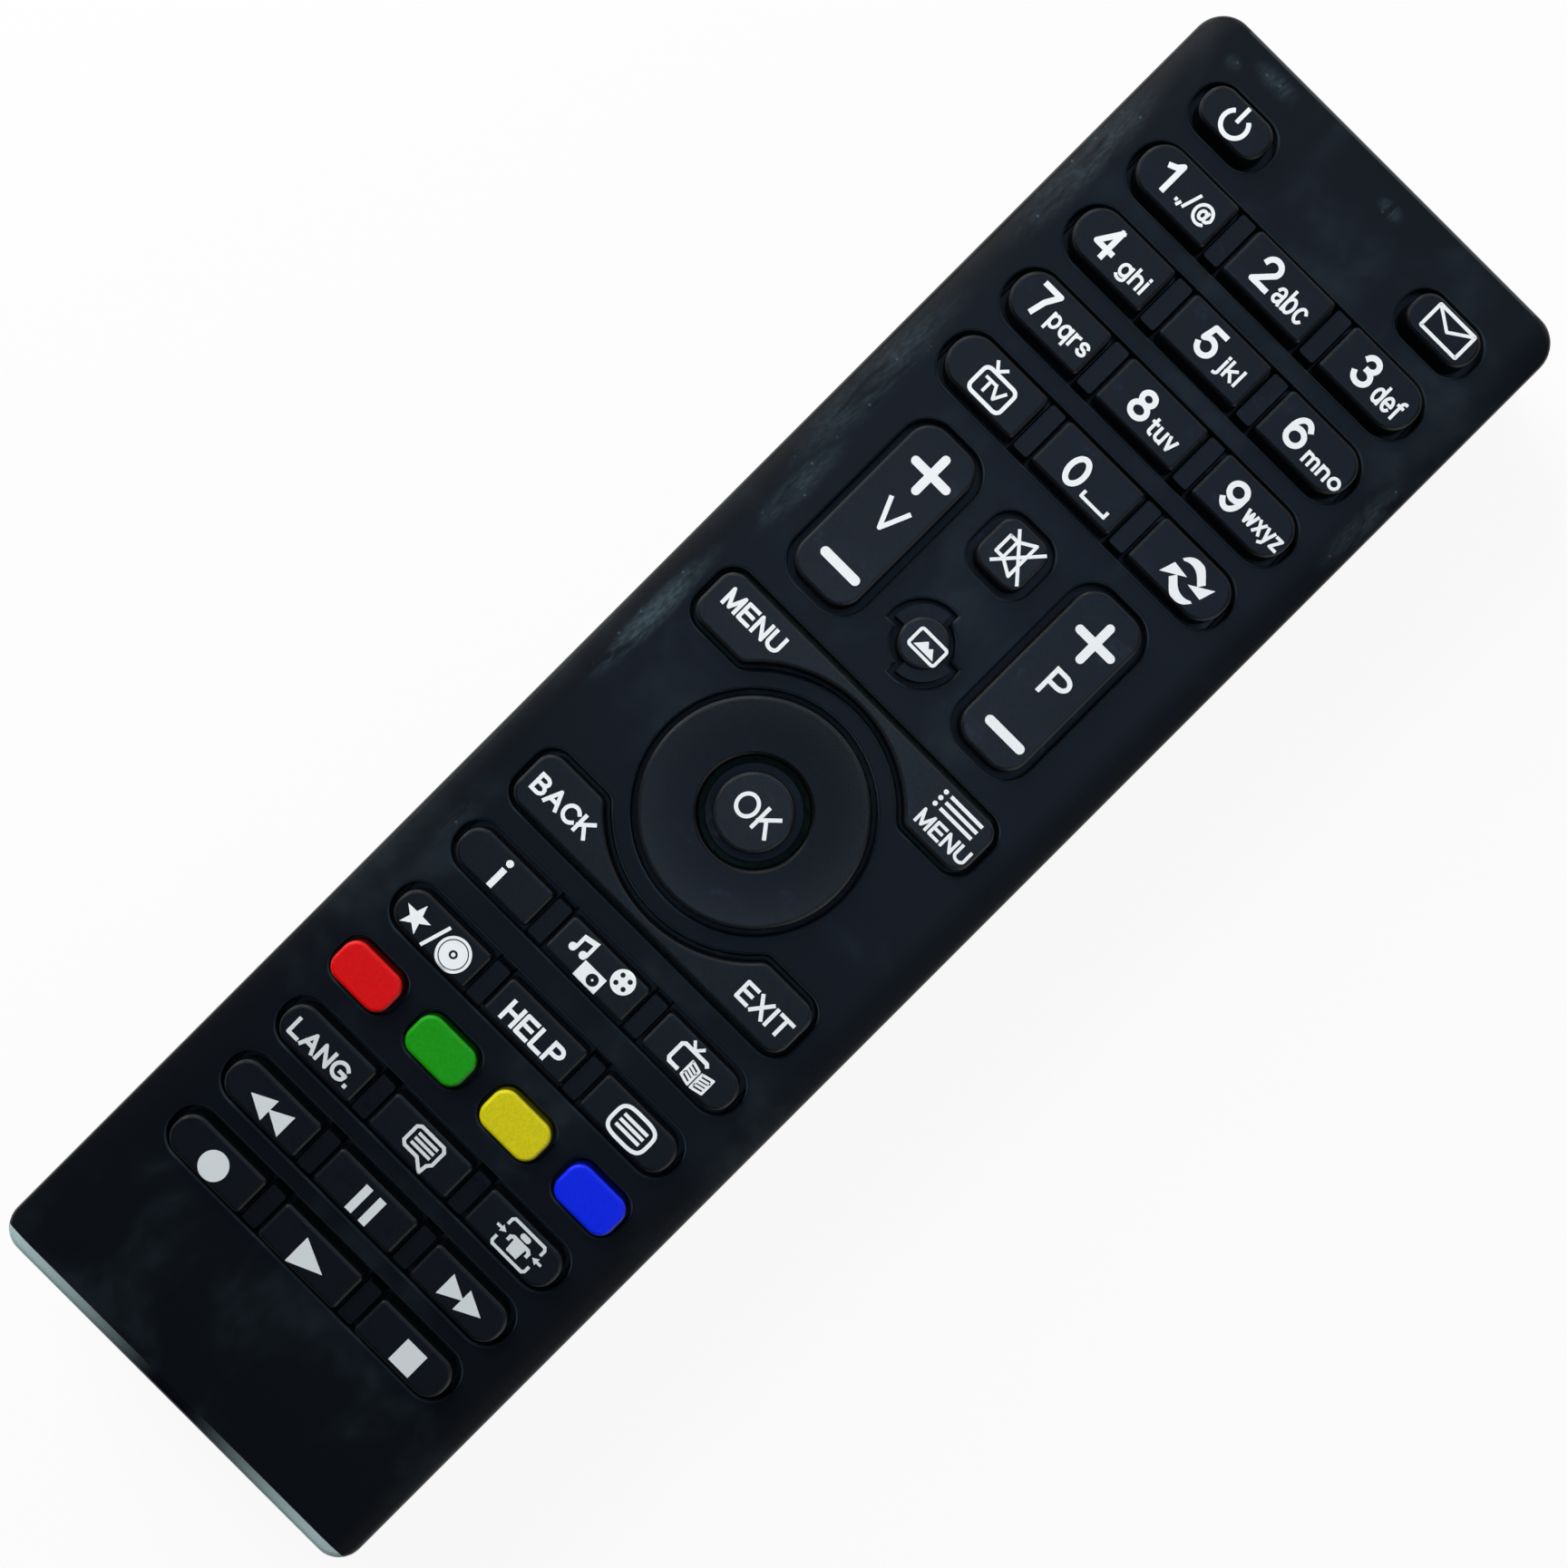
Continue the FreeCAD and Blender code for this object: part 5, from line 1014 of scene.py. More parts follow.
def plate(outline):
    """A filled shape: each side of the outline and its middle span a triangle, on both faces."""
    outline = np.array(outline, float)
    ahead = np.roll(outline, -1, axis=0)
    if (outline[:, 0] * ahead[:, 1] - outline[:, 1] * ahead[:, 0]).sum() < 0:
        outline = outline[::-1]
    count = len(outline)
    points = np.zeros((2 * count + 2, 3))
    points[:count, :2] = points[count : 2 * count, :2] = outline
    points[2 * count :, :2] = outline.mean(axis=0)
    points[count : 2 * count, 2] = points[-1, 2] = 1
    here = np.arange(count)
    following = np.roll(here, -1)
    low_middle, high_middle = np.full(count, 2 * count), np.full(count, 2 * count + 1)
    under = np.stack([following, here, low_middle], axis=1).tolist()
    over = np.stack([here + count, following + count, high_middle], axis=1).tolist()
    sides = np.stack([here, following, following + count, here + count], axis=1).tolist()
    return [(points, under + over + sides)]


def disc(x, y, radius, corners=CIRCLE_POINTS):
    """A filled circle."""
    return plate(turn_points(x, y, radius, 0, 360, corners + 1)[:-1])


def dash(x, y, length, width):
    """A short thick line with round ends."""
    return plate(rounded(x - length / 2, x + length / 2, y - width / 2, y + width / 2, width / 2))


def plus(x, y, length, width):
    """Two crossed lines with round ends, as one outline of four like arms."""
    arm = turn_points(length / 2 - width / 2, 0, width / 2, -90, 90, END_POINTS)
    arm = np.concatenate([[[width / 2, -width / 2]], arm])
    arms = []
    for turn in np.radians([0, 90, 180, 270]):
        across = np.array([[np.cos(turn), np.sin(turn)], [-np.sin(turn), np.cos(turn)]])
        arms.append(arm @ across)
    return plate(np.concatenate(arms) + [x, y])


def screen(x, y, width, height, stroke):
    """A strip round a picture tube: a rectangle whose sides bow outwards by a power curve."""
    angle = np.linspace(0, 2 * np.pi, 73)[:-1]
    power = 0.55
    across = np.sign(np.cos(angle)) * np.abs(np.cos(angle)) ** power * width / 2
    along = np.sign(np.sin(angle)) * np.abs(np.sin(angle)) ** power * height / 2
    return [strip(np.stack([x + across, y + along], axis=1), stroke, closed=True)]


def smooth(points, steps=5):
    """A smooth curve through the points: between two of them, half the sum of four cubic weights
    times the two and their neighbours."""
    points = np.array(points, float)
    wide = np.concatenate([[2 * points[0] - points[1]], points, [2 * points[-1] - points[-2]]])
    share = (np.arange(steps) / steps)[None, :, None]
    before, start, end, after = (wide[shift : len(points) - 1 + shift, None] for shift in range(4))
    curve = (
        2 * start
        + (end - before) * share
        + (2 * before - 5 * start + 4 * end - after) * share**2
        + (3 * start - before - 3 * end + after) * share**3
    ) / 2
    return np.concatenate([curve.reshape(-1, 2), points[-1:]])


def swap_arrow(x, y, turn):
    """Half of the swap sign: a crescent between two smooth edges, and its arrow head."""
    outer = [(-2.04, 1.37), (-1.5, 2.03), (-0.9, 2.36), (-0.27, 2.42), (0.5, 2.23), (1.73, 1.04)]
    inner = [(-1.75, 1.28), (-1.35, 1.45), (-0.95, 1.52), (-0.38, 1.46), (0.3, 1.13), (1.22, 0.26)]
    spin = np.array([[math.cos(turn), math.sin(turn)], [-math.sin(turn), math.cos(turn)]])
    head = np.array([(2.91, 1.31), (2.33, -0.51), (0.29, -0.25)])
    edges = [smooth(edge) @ spin + [x, y] for edge in (outer, inner)]
    return [band(*edges)] + plate(head @ spin + [x, y])


def holed(outline, x, y, radius):
    """A filled shape with a round hole. At each angle about the hole's middle the band runs from
    the hole's radius to the outline's own distance there."""
    outline = np.array(outline, float)
    sides = np.stack([outline, np.roll(outline, -1, axis=0)], axis=1)
    share = np.linspace(0, 1, SIDE_POINTS, endpoint=False)[None, :, None]
    dense = (sides[:, :1] * (1 - share) + sides[:, 1:] * share).reshape(-1, 2) - [x, y]
    angle = np.arctan2(dense[:, 1], dense[:, 0])
    dense = dense[np.argsort(angle)]
    inner = dense / np.linalg.norm(dense, axis=1, keepdims=True) * radius
    return [band(inner + [x, y], dense + [x, y], closed=True)]


def reel(x, y, radius, hole_offset, hole):
    """A film reel: four quarters of a disc, each with a round hole."""
    quarters = []
    for start in (0, 90, 180, 270):
        middle = np.radians(start + 45)
        rim = turn_points(x, y, radius, start, start + 90, END_POINTS)
        outline = np.concatenate([[(x, y)], rim])
        at = [x + hole_offset * np.cos(middle), y + hole_offset * np.sin(middle)]
        quarters += holed(outline, *at, hole)
    return quarters


def text_lines(left, right, heights, width):
    """Level lines that stand for rows of text."""
    return [line([(left, height), (right, height)], width) for height in heights]


def page(left_top, right_top, right_low, left_low):
    """A printed page: a border and three lines of text that lean with it."""
    corners = np.array([left_top, right_top, right_low, left_low], float)
    share = np.array([0.27, 0.5, 0.73])[:, None]
    starts = corners[0] * (1 - share) + corners[3] * share
    ends = corners[1] * (1 - share) + corners[2] * share
    rows = [strip([start, end], 0.26) for start, end in zip(starts, ends)]
    return line(corners, 0.3, closed=True) + rows


def stroke_points(stroke):
    """The points of a letter's stroke, its arcs as ellipses about their own middles."""
    points = []
    for piece in stroke:
        if len(piece) == 2:
            points.append([piece])
            continue
        x, y, across, up, start, end = piece
        angle = np.radians(np.linspace(start, end, max(4, abs(end - start) // ARC_DEGREES)))
        points.append(np.stack([x + across * np.cos(angle), y + up * np.sin(angle)], axis=1))
    path = np.concatenate(points)
    steps = np.linalg.norm(np.diff(path, axis=0), axis=1)
    return path[np.concatenate([[True], steps > LEAST_STEP])]


def word(text, left, right, low, high, width, gap=LETTER_GAP):
    """Letters of one stroke width. Their middle lines are set side by side, then scaled so that
    the inked word fills the box, and their open ends are longer by half the stroke."""
    strokes, pen = [], 0.0
    for letter in text:
        shapes = [stroke_points(stroke) for stroke in LETTERS[letter]]
        strokes += [shape + [pen, 0] for shape in shapes]
        pen += max(shape[:, 0].max() for shape in shapes) + gap
    everything = np.concatenate(strokes)
    first, last = everything.min(axis=0), everything.max(axis=0)
    size = np.array([right - left, high - low]) - width
    scale = size / np.maximum(last - first, 1e-6)
    marks = []
    for stroke in strokes:
        path = np.array([left, low]) + width / 2 + (stroke - first) * scale
        closed = np.allclose(path[0], path[-1])
        if not closed:
            ends = np.array([path[0] - path[1], path[-1] - path[-2]])
            ends *= width / 2 / np.linalg.norm(ends, axis=1, keepdims=True)
            path[[0, -1]] += ends
        marks += line(path[:-1] if closed else path, width, closed)
    return marks


def print_legend(look, node, marks, material):
    """Puts a legend on a key, its marks a little apart in height where they cross. Past the flat
    of the key's top it follows the rounded edge: the drop is the radius less the root of the
    radius squared less the overhang squared."""
    low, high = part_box(node)
    middle = (low + high) / 2
    flat = (high.y - low.y) / 2 / MM - FOOT_REACH - KEY_ROUND
    shape = bmesh.new()
    for number, (points, faces) in enumerate(mark for group in marks for mark in group):
        piece = bpy.data.meshes.new("mark")
        higher = 1 + HEIGHT_STEP * (number % HEIGHTS)
        piece.from_pydata((points * [1, 1, higher]).tolist(), [], faces)
        shape.from_mesh(piece)
        bpy.data.meshes.remove(piece)
    bmesh.ops.recalc_face_normals(shape, faces=shape.faces)
    for side in (-1, 1):
        for step in np.linspace(0, BEND_REACH, BEND_CUTS) * KEY_ROUND:
            everything = shape.verts[:] + shape.edges[:] + shape.faces[:]
            spot, way = (0, side * (flat + step), 0), (0, 1, 0)
            bmesh.ops.bisect_plane(shape, geom=everything, plane_co=spot, plane_no=way)
    mesh = bpy.data.meshes.new("legend_" + node)
    shape.to_mesh(mesh)
    shape.free()
    places = np.zeros(len(mesh.vertices) * 3)
    mesh.vertices.foreach_get("co", places)
    places = places.reshape(-1, 3)
    over = np.clip(np.abs(places[:, 1]) - flat, 0, KEY_ROUND * BEND_LIMIT)
    drop = KEY_ROUND - np.sqrt(KEY_ROUND**2 - over**2)
    places[:, 2] = places[:, 2] * (look.rise + look.sink) / MM - look.sink / MM - drop
    places = places * MM + [middle.x, middle.y, high.z]
    mesh.vertices.foreach_set("co", places.reshape(-1))
    mesh.materials.append(material)
    legend = bpy.data.objects.new("legend_" + node, mesh)
    bpy.context.scene.collection.objects.link(legend)
    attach(legend, node)


# the digits and the letters beside them, each with its left, right, low and high edge
DIGITS = {
    "1": ((-3.12, -1.36, -1.7, 2.14), ".,/@", (-0.12, 4.52, -1.67, 1.04)),
    "2": ((-3.13, -0.55, -1.7, 2.14), "abc", (0.05, 4.26, -1.7, 1.02)),
    "3": ((-2.79, -0.28, -1.7, 2.14), "def", (0.48, 4.19, -1.7, 0.82)),
    "4": ((-3.12, -0.37, -1.82, 2.06), "ghi", (0.89, 4.52, -2.14, 0.54)),
    "5": ((-2.29, 0.22, -1.75, 2.03), "jkl", (1.18, 4.09, -1.99, 0.64)),
    "6": ((-3.36, -0.71, -1.82, 1.9), "mno", (0.02, 5.18, -1.9, -0.41)),
    "7": ((-3.45, -0.8, -1.59, 2.18), "pqrs", (-0.54, 4.99, -1.77, 0.47)),
    "8": ((-2.63, -0.05, -1.85, 1.85), "tuv", (0.52, 4.26, -1.87, 0.22)),
    "9": ((-3.36, -0.71, -1.85, 1.85), "wxyz", (-0.05, 5.18, -1.82, 0.3)),
}


# each group of legends takes the pens and gives the marks of every key that it names


def upper_legends(pens):
    """The power sign and an envelope, the digits with the letters of a telephone's keys, and the
    television, space and swap signs."""
    marks = {
        "key_power": [
            arc(0.01, -0.3, 1.5, 130, 410, 0.52),
            line([(0.01, 2.03), (0.01, -0.05)], 0.48),
        ],
        "key_message": [
            border(-2.18, 2.94, -1.34, 1.73, 0.1, 0.4),
            line([(-2.03, 1.63), (0.38, 0.0), (2.79, 1.63)], 0.36),
        ],
    }
    for digit, (box, letters, beside) in DIGITS.items():
        marks["key_" + digit] = [
            word(digit, *box, pens.thick),
            word(letters, *beside, pens.thin),
        ]
    return marks | {
        "key_tv": [
            border(-1.61, 2.85, -2.24, 0.93, 0.65, 0.45),
            line([(-1.14, 2.05), (-0.33, 1.12), (0.5, 2.02)], 0.38),
            word("TV", -0.92, 2.16, -1.5, 0.15, pens.thin, 0.04),
        ],
        "key_0": [
            word("0", -2.63, -0.05, -2.22, 1.48, pens.thick),
            line([(0.77, -1.15), (0.77, -1.9), (4.09, -1.9), (4.09, -1.15)], 0.38),
        ],
        "key_swap": [swap_arrow(0.71, -0.34, 0.0), swap_arrow(0.71, -0.34, math.pi)],
    }


def middle_legends(pens):
    """Plus and dash at the ends of the rockers, a crossed-out speaker and a landscape."""
    return {
        "volume_rocker": [
            plus(0.41, 6.35, 5.5, 1.0),
            word("V", -1.15, 2.03, -1.66, 1.95, pens.middle * 1.2),
            dash(0.41, -7.22, 5.5, 1.1),
        ],
        "programme_rocker": [
            plus(0.56, 6.02, 5.5, 1.0),
            word("P", -0.59, 2.17, -1.86, 1.65, pens.middle * 1.2),
            dash(0.56, -7.52, 5.5, 1.1),
        ],
        "key_mute": [
            line(
                [
                    (-1.51, 1.27), (-0.48, 1.27), (1.33, 2.36), (1.33, -2.01), (-0.48, -0.95),
                    (-1.51, -0.95),
                ],
                0.38,
                closed=True,
            ),
            line([(-0.48, 1.27), (-0.48, -0.95)], 0.34),
            line([(-1.3, 2.4), (2.75, -2.12)], 0.38),
            line([(2.75, 2.4), (-1.3, -2.12)], 0.38),
        ],
        "key_picture": [
            border(-1.22, 2.5, -1.17, 1.11, 0.3, 0.36),
            plate([(-0.77, -0.78), (0.32, 0.46), (0.86, -0.13), (1.21, 0.22), (2.06, -0.78)]),
        ],
    }


def round_legends(pens):
    """Words on the bars and the key in the ring, and a short list above the second one."""
    return {
        "menu_bar": [
            word("MENU", -18.35, -10.21, -0.42, 1.89, pens.middle),
            *[
                line([(13.62, height), (18.29, height)], 0.42) + disc(12.88, height, 0.28)
                for height in (2.29, 1.45, 0.6)
            ],
            word("MENU", 12.43, 19.58, -2.28, -0.36, pens.thin),
        ],
        "key_ok": [
            word("OK", -2.43, 2.93, -1.39, 1.59, pens.middle),
        ],
        "back_bar": [
            word("BACK", -18.84, -10.63, -1.28, 1.03, pens.middle),
            word("EXIT", 12.13, 19.15, -1.55, 0.87, pens.middle),
        ],
    }


def lower_legends(pens):
    """Signs and words of the two rows above the colour keys."""
    return {
        "key_info": [
            disc(0.0, 1.34, 0.42),
            line([(0.01, 0.55), (0.01, -1.93)], 0.72),
        ],
        "key_media": [
            plate([(-3.47, 1.72), (-1.57, 2.12), (-1.57, 1.52), (-3.47, 1.12)]),
            line([(-3.26, 1.6), (-3.26, 0.0)], 0.42),
            line([(-1.78, 1.9), (-1.78, 0.0)], 0.42),
            disc(-3.55, -0.1, 0.46),
            disc(-2.1, -0.04, 0.46),
            holed([(-1.54, -2.2), (1.6, -2.2), (1.6, -0.17), (-1.54, -0.17)], 0.45, -1.21, 0.7),
            disc(0.45, -1.21, 0.14),
            reel(2.92, 0.94, 1.4, 0.76, 0.28),
        ],
        "key_guide": [
            line(
                [
                    (1.28, 0.76), (0.94, 1.08), (-2.17, 1.08), (-2.48, 0.8), (-2.48, -1.14),
                    (-2.2, -1.44), (-0.88, -1.44),
                ],
                0.46,
            ),
            line([(-1.7, 2.0), (-0.94, 1.2), (-0.18, 2.04)], 0.36),
            page((-0.3, 0.28), (0.94, -0.05), (0.94, -1.88), (-0.3, -1.56)),
            page((1.39, -0.05), (2.74, 0.28), (2.74, -1.56), (1.39, -1.88)),
        ],
        "key_favourites": [
            plate(
                [
                    (-3.02, 1.36), (-3.44, 0.15), (-4.72, 0.12), (-3.7, -0.65), (-4.07, -1.87),
                    (-3.02, -1.14), (-1.97, -1.87), (-2.34, -0.65), (-1.32, 0.12), (-2.6, 0.15),
                ],
            ),
            line([(-0.7, -2.14), (0.35, 1.42)], 0.4),
            ring(2.54, -0.41, 1.84, 0.32),
            ring(2.54, -0.41, 1.02, 1.06),
            disc(2.54, -0.41, 0.24),
        ],
        "key_help": [
            word("HELP", -3.95, 4.19, -1.67, 0.91, pens.middle * 1.1),
        ],
        "key_text": [
            *text_lines(-1.52, 1.9, (0.54, -0.14, -0.82), 0.4),
            screen(0.17, -0.15, 5.0, 3.5, 0.44),
        ],
    }


def tail_legends(pens):
    """Signs and a word of the three rows below the colour keys."""
    return {
        "key_language": [
            word("LANG.", -4.34, 4.42, -1.47, 0.74, pens.middle),
        ],
        "key_subtitle": [
            line(
                [
                    (-1.32, 1.62), (1.93, 1.62), (2.33, 1.24), (2.33, -0.6), (1.93, -1.06),
                    (1.83, -2.09), (0.54, -1.06), (-1.32, -1.06), (-1.73, -0.7), (-1.73, 1.24),
                ],
                0.4,
                closed=True,
            ),
            *text_lines(-1.07, 1.71, (0.9, 0.29, -0.32), 0.36),
        ],
        "key_size": [
            line(
                [
                    (-2.02, 0.74), (-2.02, 1.43), (-1.77, 1.7), (2.55, 1.7), (2.8, 1.43),
                    (2.8, 0.74),
                ],
                0.36,
            ),
            line(
                [
                    (-2.02, -0.9), (-2.02, -1.6), (-1.77, -1.87), (2.55, -1.87), (2.8, -1.6),
                    (2.8, -0.9),
                ],
                0.36,
            ),
            line([(-2.86, 0.01), (-1.9, 0.01)], 0.3),
            line([(3.64, 0.01), (2.7, 0.01)], 0.3),
            plate([(-2.22, 0.44), (-2.22, -0.41), (-1.52, 0.01)]),
            plate([(3.04, 0.44), (3.04, -0.41), (2.35, 0.01)]),
            line(
                [
                    (-0.88, -0.5), (-0.88, -0.01), (-0.58, 0.22), (1.51, 0.22), (1.8, -0.01),
                    (1.8, -0.5),
                ],
                0.42,
            ),
            plate([(-0.43, 0.39), (1.33, 0.39), (1.21, -1.35), (-0.28, -1.35)]),
            plate(rounded(-0.22, 1.1, 0.62, 1.28, 0.32)),
        ],
        "key_rewind": [
            plate([(-2.29, -0.39), (0.45, -1.85), (0.45, 1.0)]),
            plate([(0.27, -0.39), (2.93, -1.85), (2.93, 1.0)]),
        ],
        "key_pause": [
            plate([(-1.14, -2.01), (-0.18, -2.01), (-0.18, 1.4), (-1.14, 1.4)]),
            plate([(0.84, -2.01), (1.81, -2.01), (1.81, 1.4), (0.84, 1.4)]),
        ],
        "key_forward": [
            plate([(-2.27, 1.23), (-2.27, -1.58), (0.46, -0.14)]),
            plate([(0.21, 1.23), (0.21, -1.58), (3.02, -0.14)]),
        ],
        "key_record": [
            disc(0.39, -0.49, 1.7),
        ],
        "key_play": [
            plate([(-1.6, 1.23), (-1.6, -2.25), (2.33, -0.54)]),
        ],
        "key_stop": [
            plate([(-0.88, -1.85), (2.0, -1.85), (2.0, 1.17), (-0.88, 1.17)]),
        ],
    }


# the tail rows are printed with the darker ink: painted shade towards the tail end
BRIGHT_LEGENDS = [upper_legends, middle_legends, round_legends, lower_legends]
SHADED_TAIL_LEGENDS = [tail_legends]


# the studio


def grid_floor(reach, count):
    """A flat floor: a grid whose places grow outwards by a cube, so that it is finest near the
    part."""
    step = np.linspace(-1, 1, count)
    along, across = np.meshgrid(step**3 * reach, step**3 * reach, indexing="ij")
    points = np.stack([along, across, np.full_like(along, FLOOR_HEIGHT)], axis=2).reshape(-1, 3)
    numbers = np.arange(count * count).reshape(count, count)
    corners = [numbers[:-1, :-1], numbers[1:, :-1], numbers[1:, 1:], numbers[:-1, 1:]]
    faces = np.stack(corners, axis=2).reshape(-1, 4)
    mesh = bpy.data.meshes.new("studio_floor")
    mesh.from_pydata(points.tolist(), [], faces.tolist())
    floor = bpy.data.objects.new("studio_floor", mesh)
    bpy.context.scene.collection.objects.link(floor)
    return floor


def floor_paper(look):
    """White studio paper. What the camera sees of it is lifted to white, its shadows stay."""
    finish = Finish("studio_paper", roughness=0.9)
    grain = finish.use("grain", size=1.2 * MM, depth=0.02 * MM)
    pale = toned(look.floor, 0.97)
    colour = finish.blend(finish.ramp(grain["Tone"], 0.3, 0.7), rgba(pale), rgba(look.floor))
    finish.wire(base_color=colour, normal=grain["Normal"])
    tree = finish.tree
    rays = tree.nodes.new("ShaderNodeLightPath")
    seen = finish.larger(rays.outputs["Is Camera Ray"], rays.outputs["Is Glossy Ray"])
    seen = finish.larger(seen, rays.outputs["Is Transmission Ray"])
    share = finish.times(seen, look.floor_lift)
    glow = add_node(tree, "ShaderNodeEmission", {"Color": (1, 1, 1, 1), "Strength": 1.0})
    mixed = add_node(
        tree,
        "ShaderNodeMixShader",
        {0: share, 1: finish.shader.outputs["BSDF"], 2: glow.outputs["Emission"]},
    )
    tree.links.new(mixed.outputs["Shader"], tree.nodes["Material Output"].inputs["Surface"])
    return finish.material


def studio_world(look):
    """A dark ceiling over a dim horizon, and a soft panel that leans a little to the head end: its
    share is a smooth step on the cosine of the angle from its middle. Straight to the camera all
    is as pale as the floor."""
    world = bpy.data.worlds.new("studio")
    world.use_nodes = True
    tree = world.node_tree
    back = tree.nodes["Background"]
    place = tree.nodes.new("ShaderNodeTexCoord").outputs["Generated"]
    parts = add_node(tree, "ShaderNodeSeparateXYZ", {0: place})
    glow = ramp(tree, parts.outputs["Z"], *HORIZON_BAND, look.horizon, look.overhead)
    towards = (0, math.sin(look.panel_lean), math.cos(look.panel_lean))
    near = add_node(tree, "ShaderNodeVectorMath", {0: place, 1: towards}, operation="DOT_PRODUCT")
    panel = ramp(tree, near.outputs["Value"], PANEL_RIM, 1.0, 0.0, look.panel_glow)
    rays = tree.nodes.new("ShaderNodeLightPath")
    seen = rays.outputs["Is Camera Ray"]
    unseen = calculate(tree, "SUBTRACT", 1.0, seen)
    dim = calculate(tree, "MULTIPLY", glow, unseen)
    plain = calculate(tree, "MULTIPLY", seen, look.backdrop)
    tree.links.new(calculate(tree, "ADD", dim, plain), back.inputs["Strength"])
    back.inputs["Color"].default_value = (1, 1, 1, 1)
    wires = {"Color": rgba(look.panel), "Strength": calculate(tree, "MULTIPLY", panel, unseen)}
    front = add_node(tree, "ShaderNodeBackground", wires)
    both = add_node(
        tree,
        "ShaderNodeAddShader",
        {0: back.outputs["Background"], 1: front.outputs["Background"]},
    )
    tree.links.new(both.outputs["Shader"], tree.nodes["World Output"].inputs["Surface"])
    bpy.context.scene.world = world


def area_lamp(name, power, place, size, mirrored=True):
    """A soft rectangular lamp that looks at the part and is unseen by the camera. One that isn't
    mirrored leaves no glare on the gloss."""
    data = bpy.data.lights.new(name, "AREA")
    data.shape = "RECTANGLE"
    data.size, data.size_y = size
    data.energy = power
    lamp = bpy.data.objects.new(name, data)
    bpy.context.scene.collection.objects.link(lamp)
    lamp.location = place
    lamp.rotation_euler = (LAMP_TARGET - Vector(place)).to_track_quat("-Z", "Y").to_euler()
    lamp.visible_camera = False
    lamp.visible_glossy = mirrored


# operators


def settings(context):
    """All the settings, as the scene holds them."""
    return context.scene.television_remote


class REMOTE_OT_case(bpy.types.Operator):
    """Give the case, its cover and the infrared window their plastics"""

    bl_idname = "remote.case"
    bl_label = "Case"

    def execute(self, context):
        look = settings(context).case
        dress(case_plastic(look), CASE_NODES)
        dress(window_plastic(look), ["ir_window"])
        return {"FINISHED"}


class REMOTE_OT_keys(bpy.types.Operator):
    """Give the keys, the ring's web and the sheet under them their rubber"""

    bl_idname = "remote.keys"
    bl_label = "Keys"

    def execute(self, context):
        look = settings(context).keys
        black = rubber(look, "black_rubber", look.rubber, grime=0.35, wall_shade=0.5)
        dress(black, ROW_KEYS + OTHER_KEYS)
        for key in COLOUR_KEYS:
            shade = key.removeprefix("key_")
            finish = rubber(look, shade + "_rubber", getattr(look, shade), grime=0.12, wall_shade=0.12)
            dress(finish, [key])
        return {"FINISHED"}


class REMOTE_OT_legends(bpy.types.Operator):
    """Print the digits, words and signs on the keys"""

    bl_idname = "remote.legends"
    bl_label = "Legends"

    def execute(self, context):
        look = settings(context).legends
        pens = Pens(*(width / MM for width in (look.thick, look.middle, look.thin)))
        inks = [
            (ink("bright_ink", look.bright), BRIGHT_LEGENDS),
            # the darker copy of the ink is painted shade on the tail rows
            (ink("dull_ink", look.dull), SHADED_TAIL_LEGENDS),
        ]
        for material, groups in inks:
            for group in groups:
                for node, marks in group(pens).items():
                    print_legend(look, node, marks, material)
        return {"FINISHED"}


class REMOTE_OT_inside(bpy.types.Operator):
    """Give the cells, contacts, board and its components their finishes"""

    bl_idname = "remote.inside"
    bl_label = "Inside"

    def execute(self, context):
        look = settings(context).inside
        dress(board_laminate(look), ["circuit_board"])
        dress(cell_jacket(look), ["battery_1", "battery_2"])
        dress(plated_steel(look), STEEL_NODES)
        dress(lamp_epoxy(look), ["ir_lamp"])
        dress(chip_epoxy(look), ["control_chip"])
        dress(coated_block("resistor_body", look.chip, 0.3, 0.3 * MM), ["resistors"])
        dress(coated_block("resonator_ceramic", look.resonator, 0.18, 0.5 * MM), ["resonator"])
        dress(capacitor_sleeve(look), ["capacitor"])
        return {"FINISHED"}


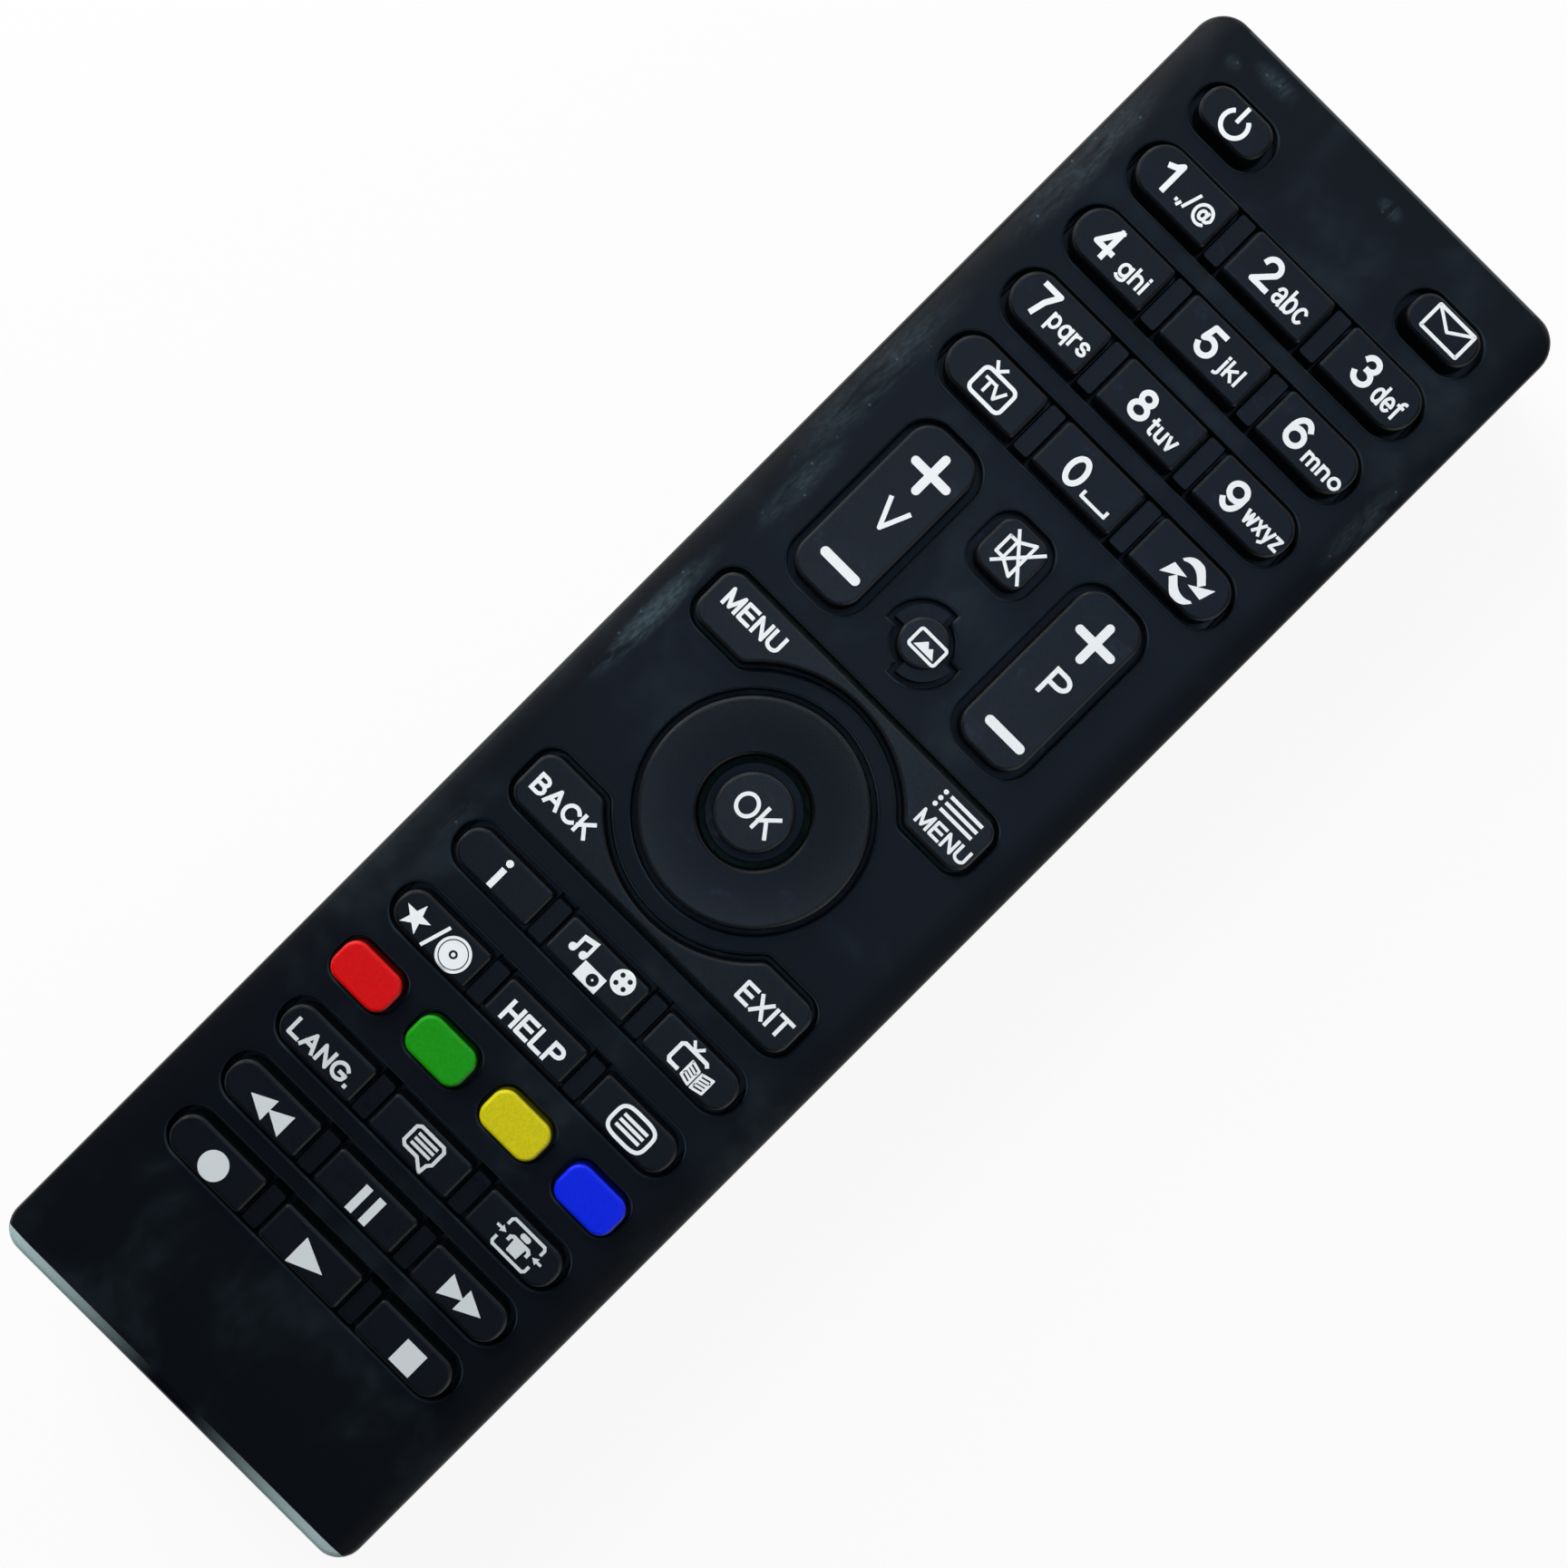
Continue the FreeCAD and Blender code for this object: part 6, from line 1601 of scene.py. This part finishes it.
class REMOTE_OT_stage(bpy.types.Operator):
    """Set up the floor, the studio, its lamps and the camera above the face"""

    bl_idname = "remote.stage"
    bl_label = "Stage"

    def execute(self, context):
        look = settings(context).stage
        floor = grid_floor(FLOOR_REACH, FLOOR_LINES)
        floor.data.materials.append(floor_paper(look))
        studio_world(look)
        area_lamp("key_lamp", look.key_power, LEFT_LAMP_PLACE, (0.3, 0.5), mirrored=False)
        area_lamp("edge_lamp", look.edge_power, LEFT_LAMP_PLACE, WIDE_LAMP)
        area_lamp("fill_lamp", look.fill_power, RIGHT_LAMP_PLACE, WIDE_LAMP)
        area_lamp("head_lamp", look.head_power, HEAD_LAMP_PLACE, (0.8, 0.5))
        lens = bpy.data.cameras.new("camera")
        lens.lens = look.lens
        camera = bpy.data.objects.new("camera", lens)
        context.scene.collection.objects.link(camera)
        camera.location = (*CAMERA_ASIDE, FACE_HEIGHT + look.camera_height)
        camera.rotation_euler = (0, 0, look.turn)
        context.scene.camera = camera
        context.scene.view_settings.view_transform = "Standard"
        return {"FINISHED"}


OPERATORS = [REMOTE_OT_case, REMOTE_OT_keys, REMOTE_OT_legends, REMOTE_OT_inside, REMOTE_OT_stage]


class REMOTE_PT_panel(bpy.types.Panel):
    """The remote control's pieces"""

    bl_label = "Remote control"
    bl_idname = "REMOTE_PT_panel"
    bl_space_type = "VIEW_3D"
    bl_region_type = "UI"
    bl_category = "Remote"

    def draw(self, context):
        for operator in OPERATORS:
            self.layout.operator(operator.bl_idname)


SETTING_GROUPS = [
    RemoteCaseSettings,
    RemoteKeySettings,
    RemoteLegendSettings,
    RemoteInsideSettings,
    RemoteStageSettings,
    RemoteSettings,
]


def register():
    """Makes the classes and the scene's settings known to Blender."""
    for part in SETTING_GROUPS + OPERATORS + [REMOTE_PT_panel]:
        bpy.utils.register_class(part)
    bpy.types.Scene.television_remote = PointerProperty(type=RemoteSettings)


def unregister():
    """Takes the settings and the classes out again."""
    del bpy.types.Scene.television_remote
    for part in reversed(SETTING_GROUPS + OPERATORS + [REMOTE_PT_panel]):
        bpy.utils.unregister_class(part)


def main():
    """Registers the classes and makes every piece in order."""
    register()
    for operator in OPERATORS:
        group, name = operator.bl_idname.split(".")
        getattr(getattr(bpy.ops, group), name)()


if __name__ == "__main__":
    main()
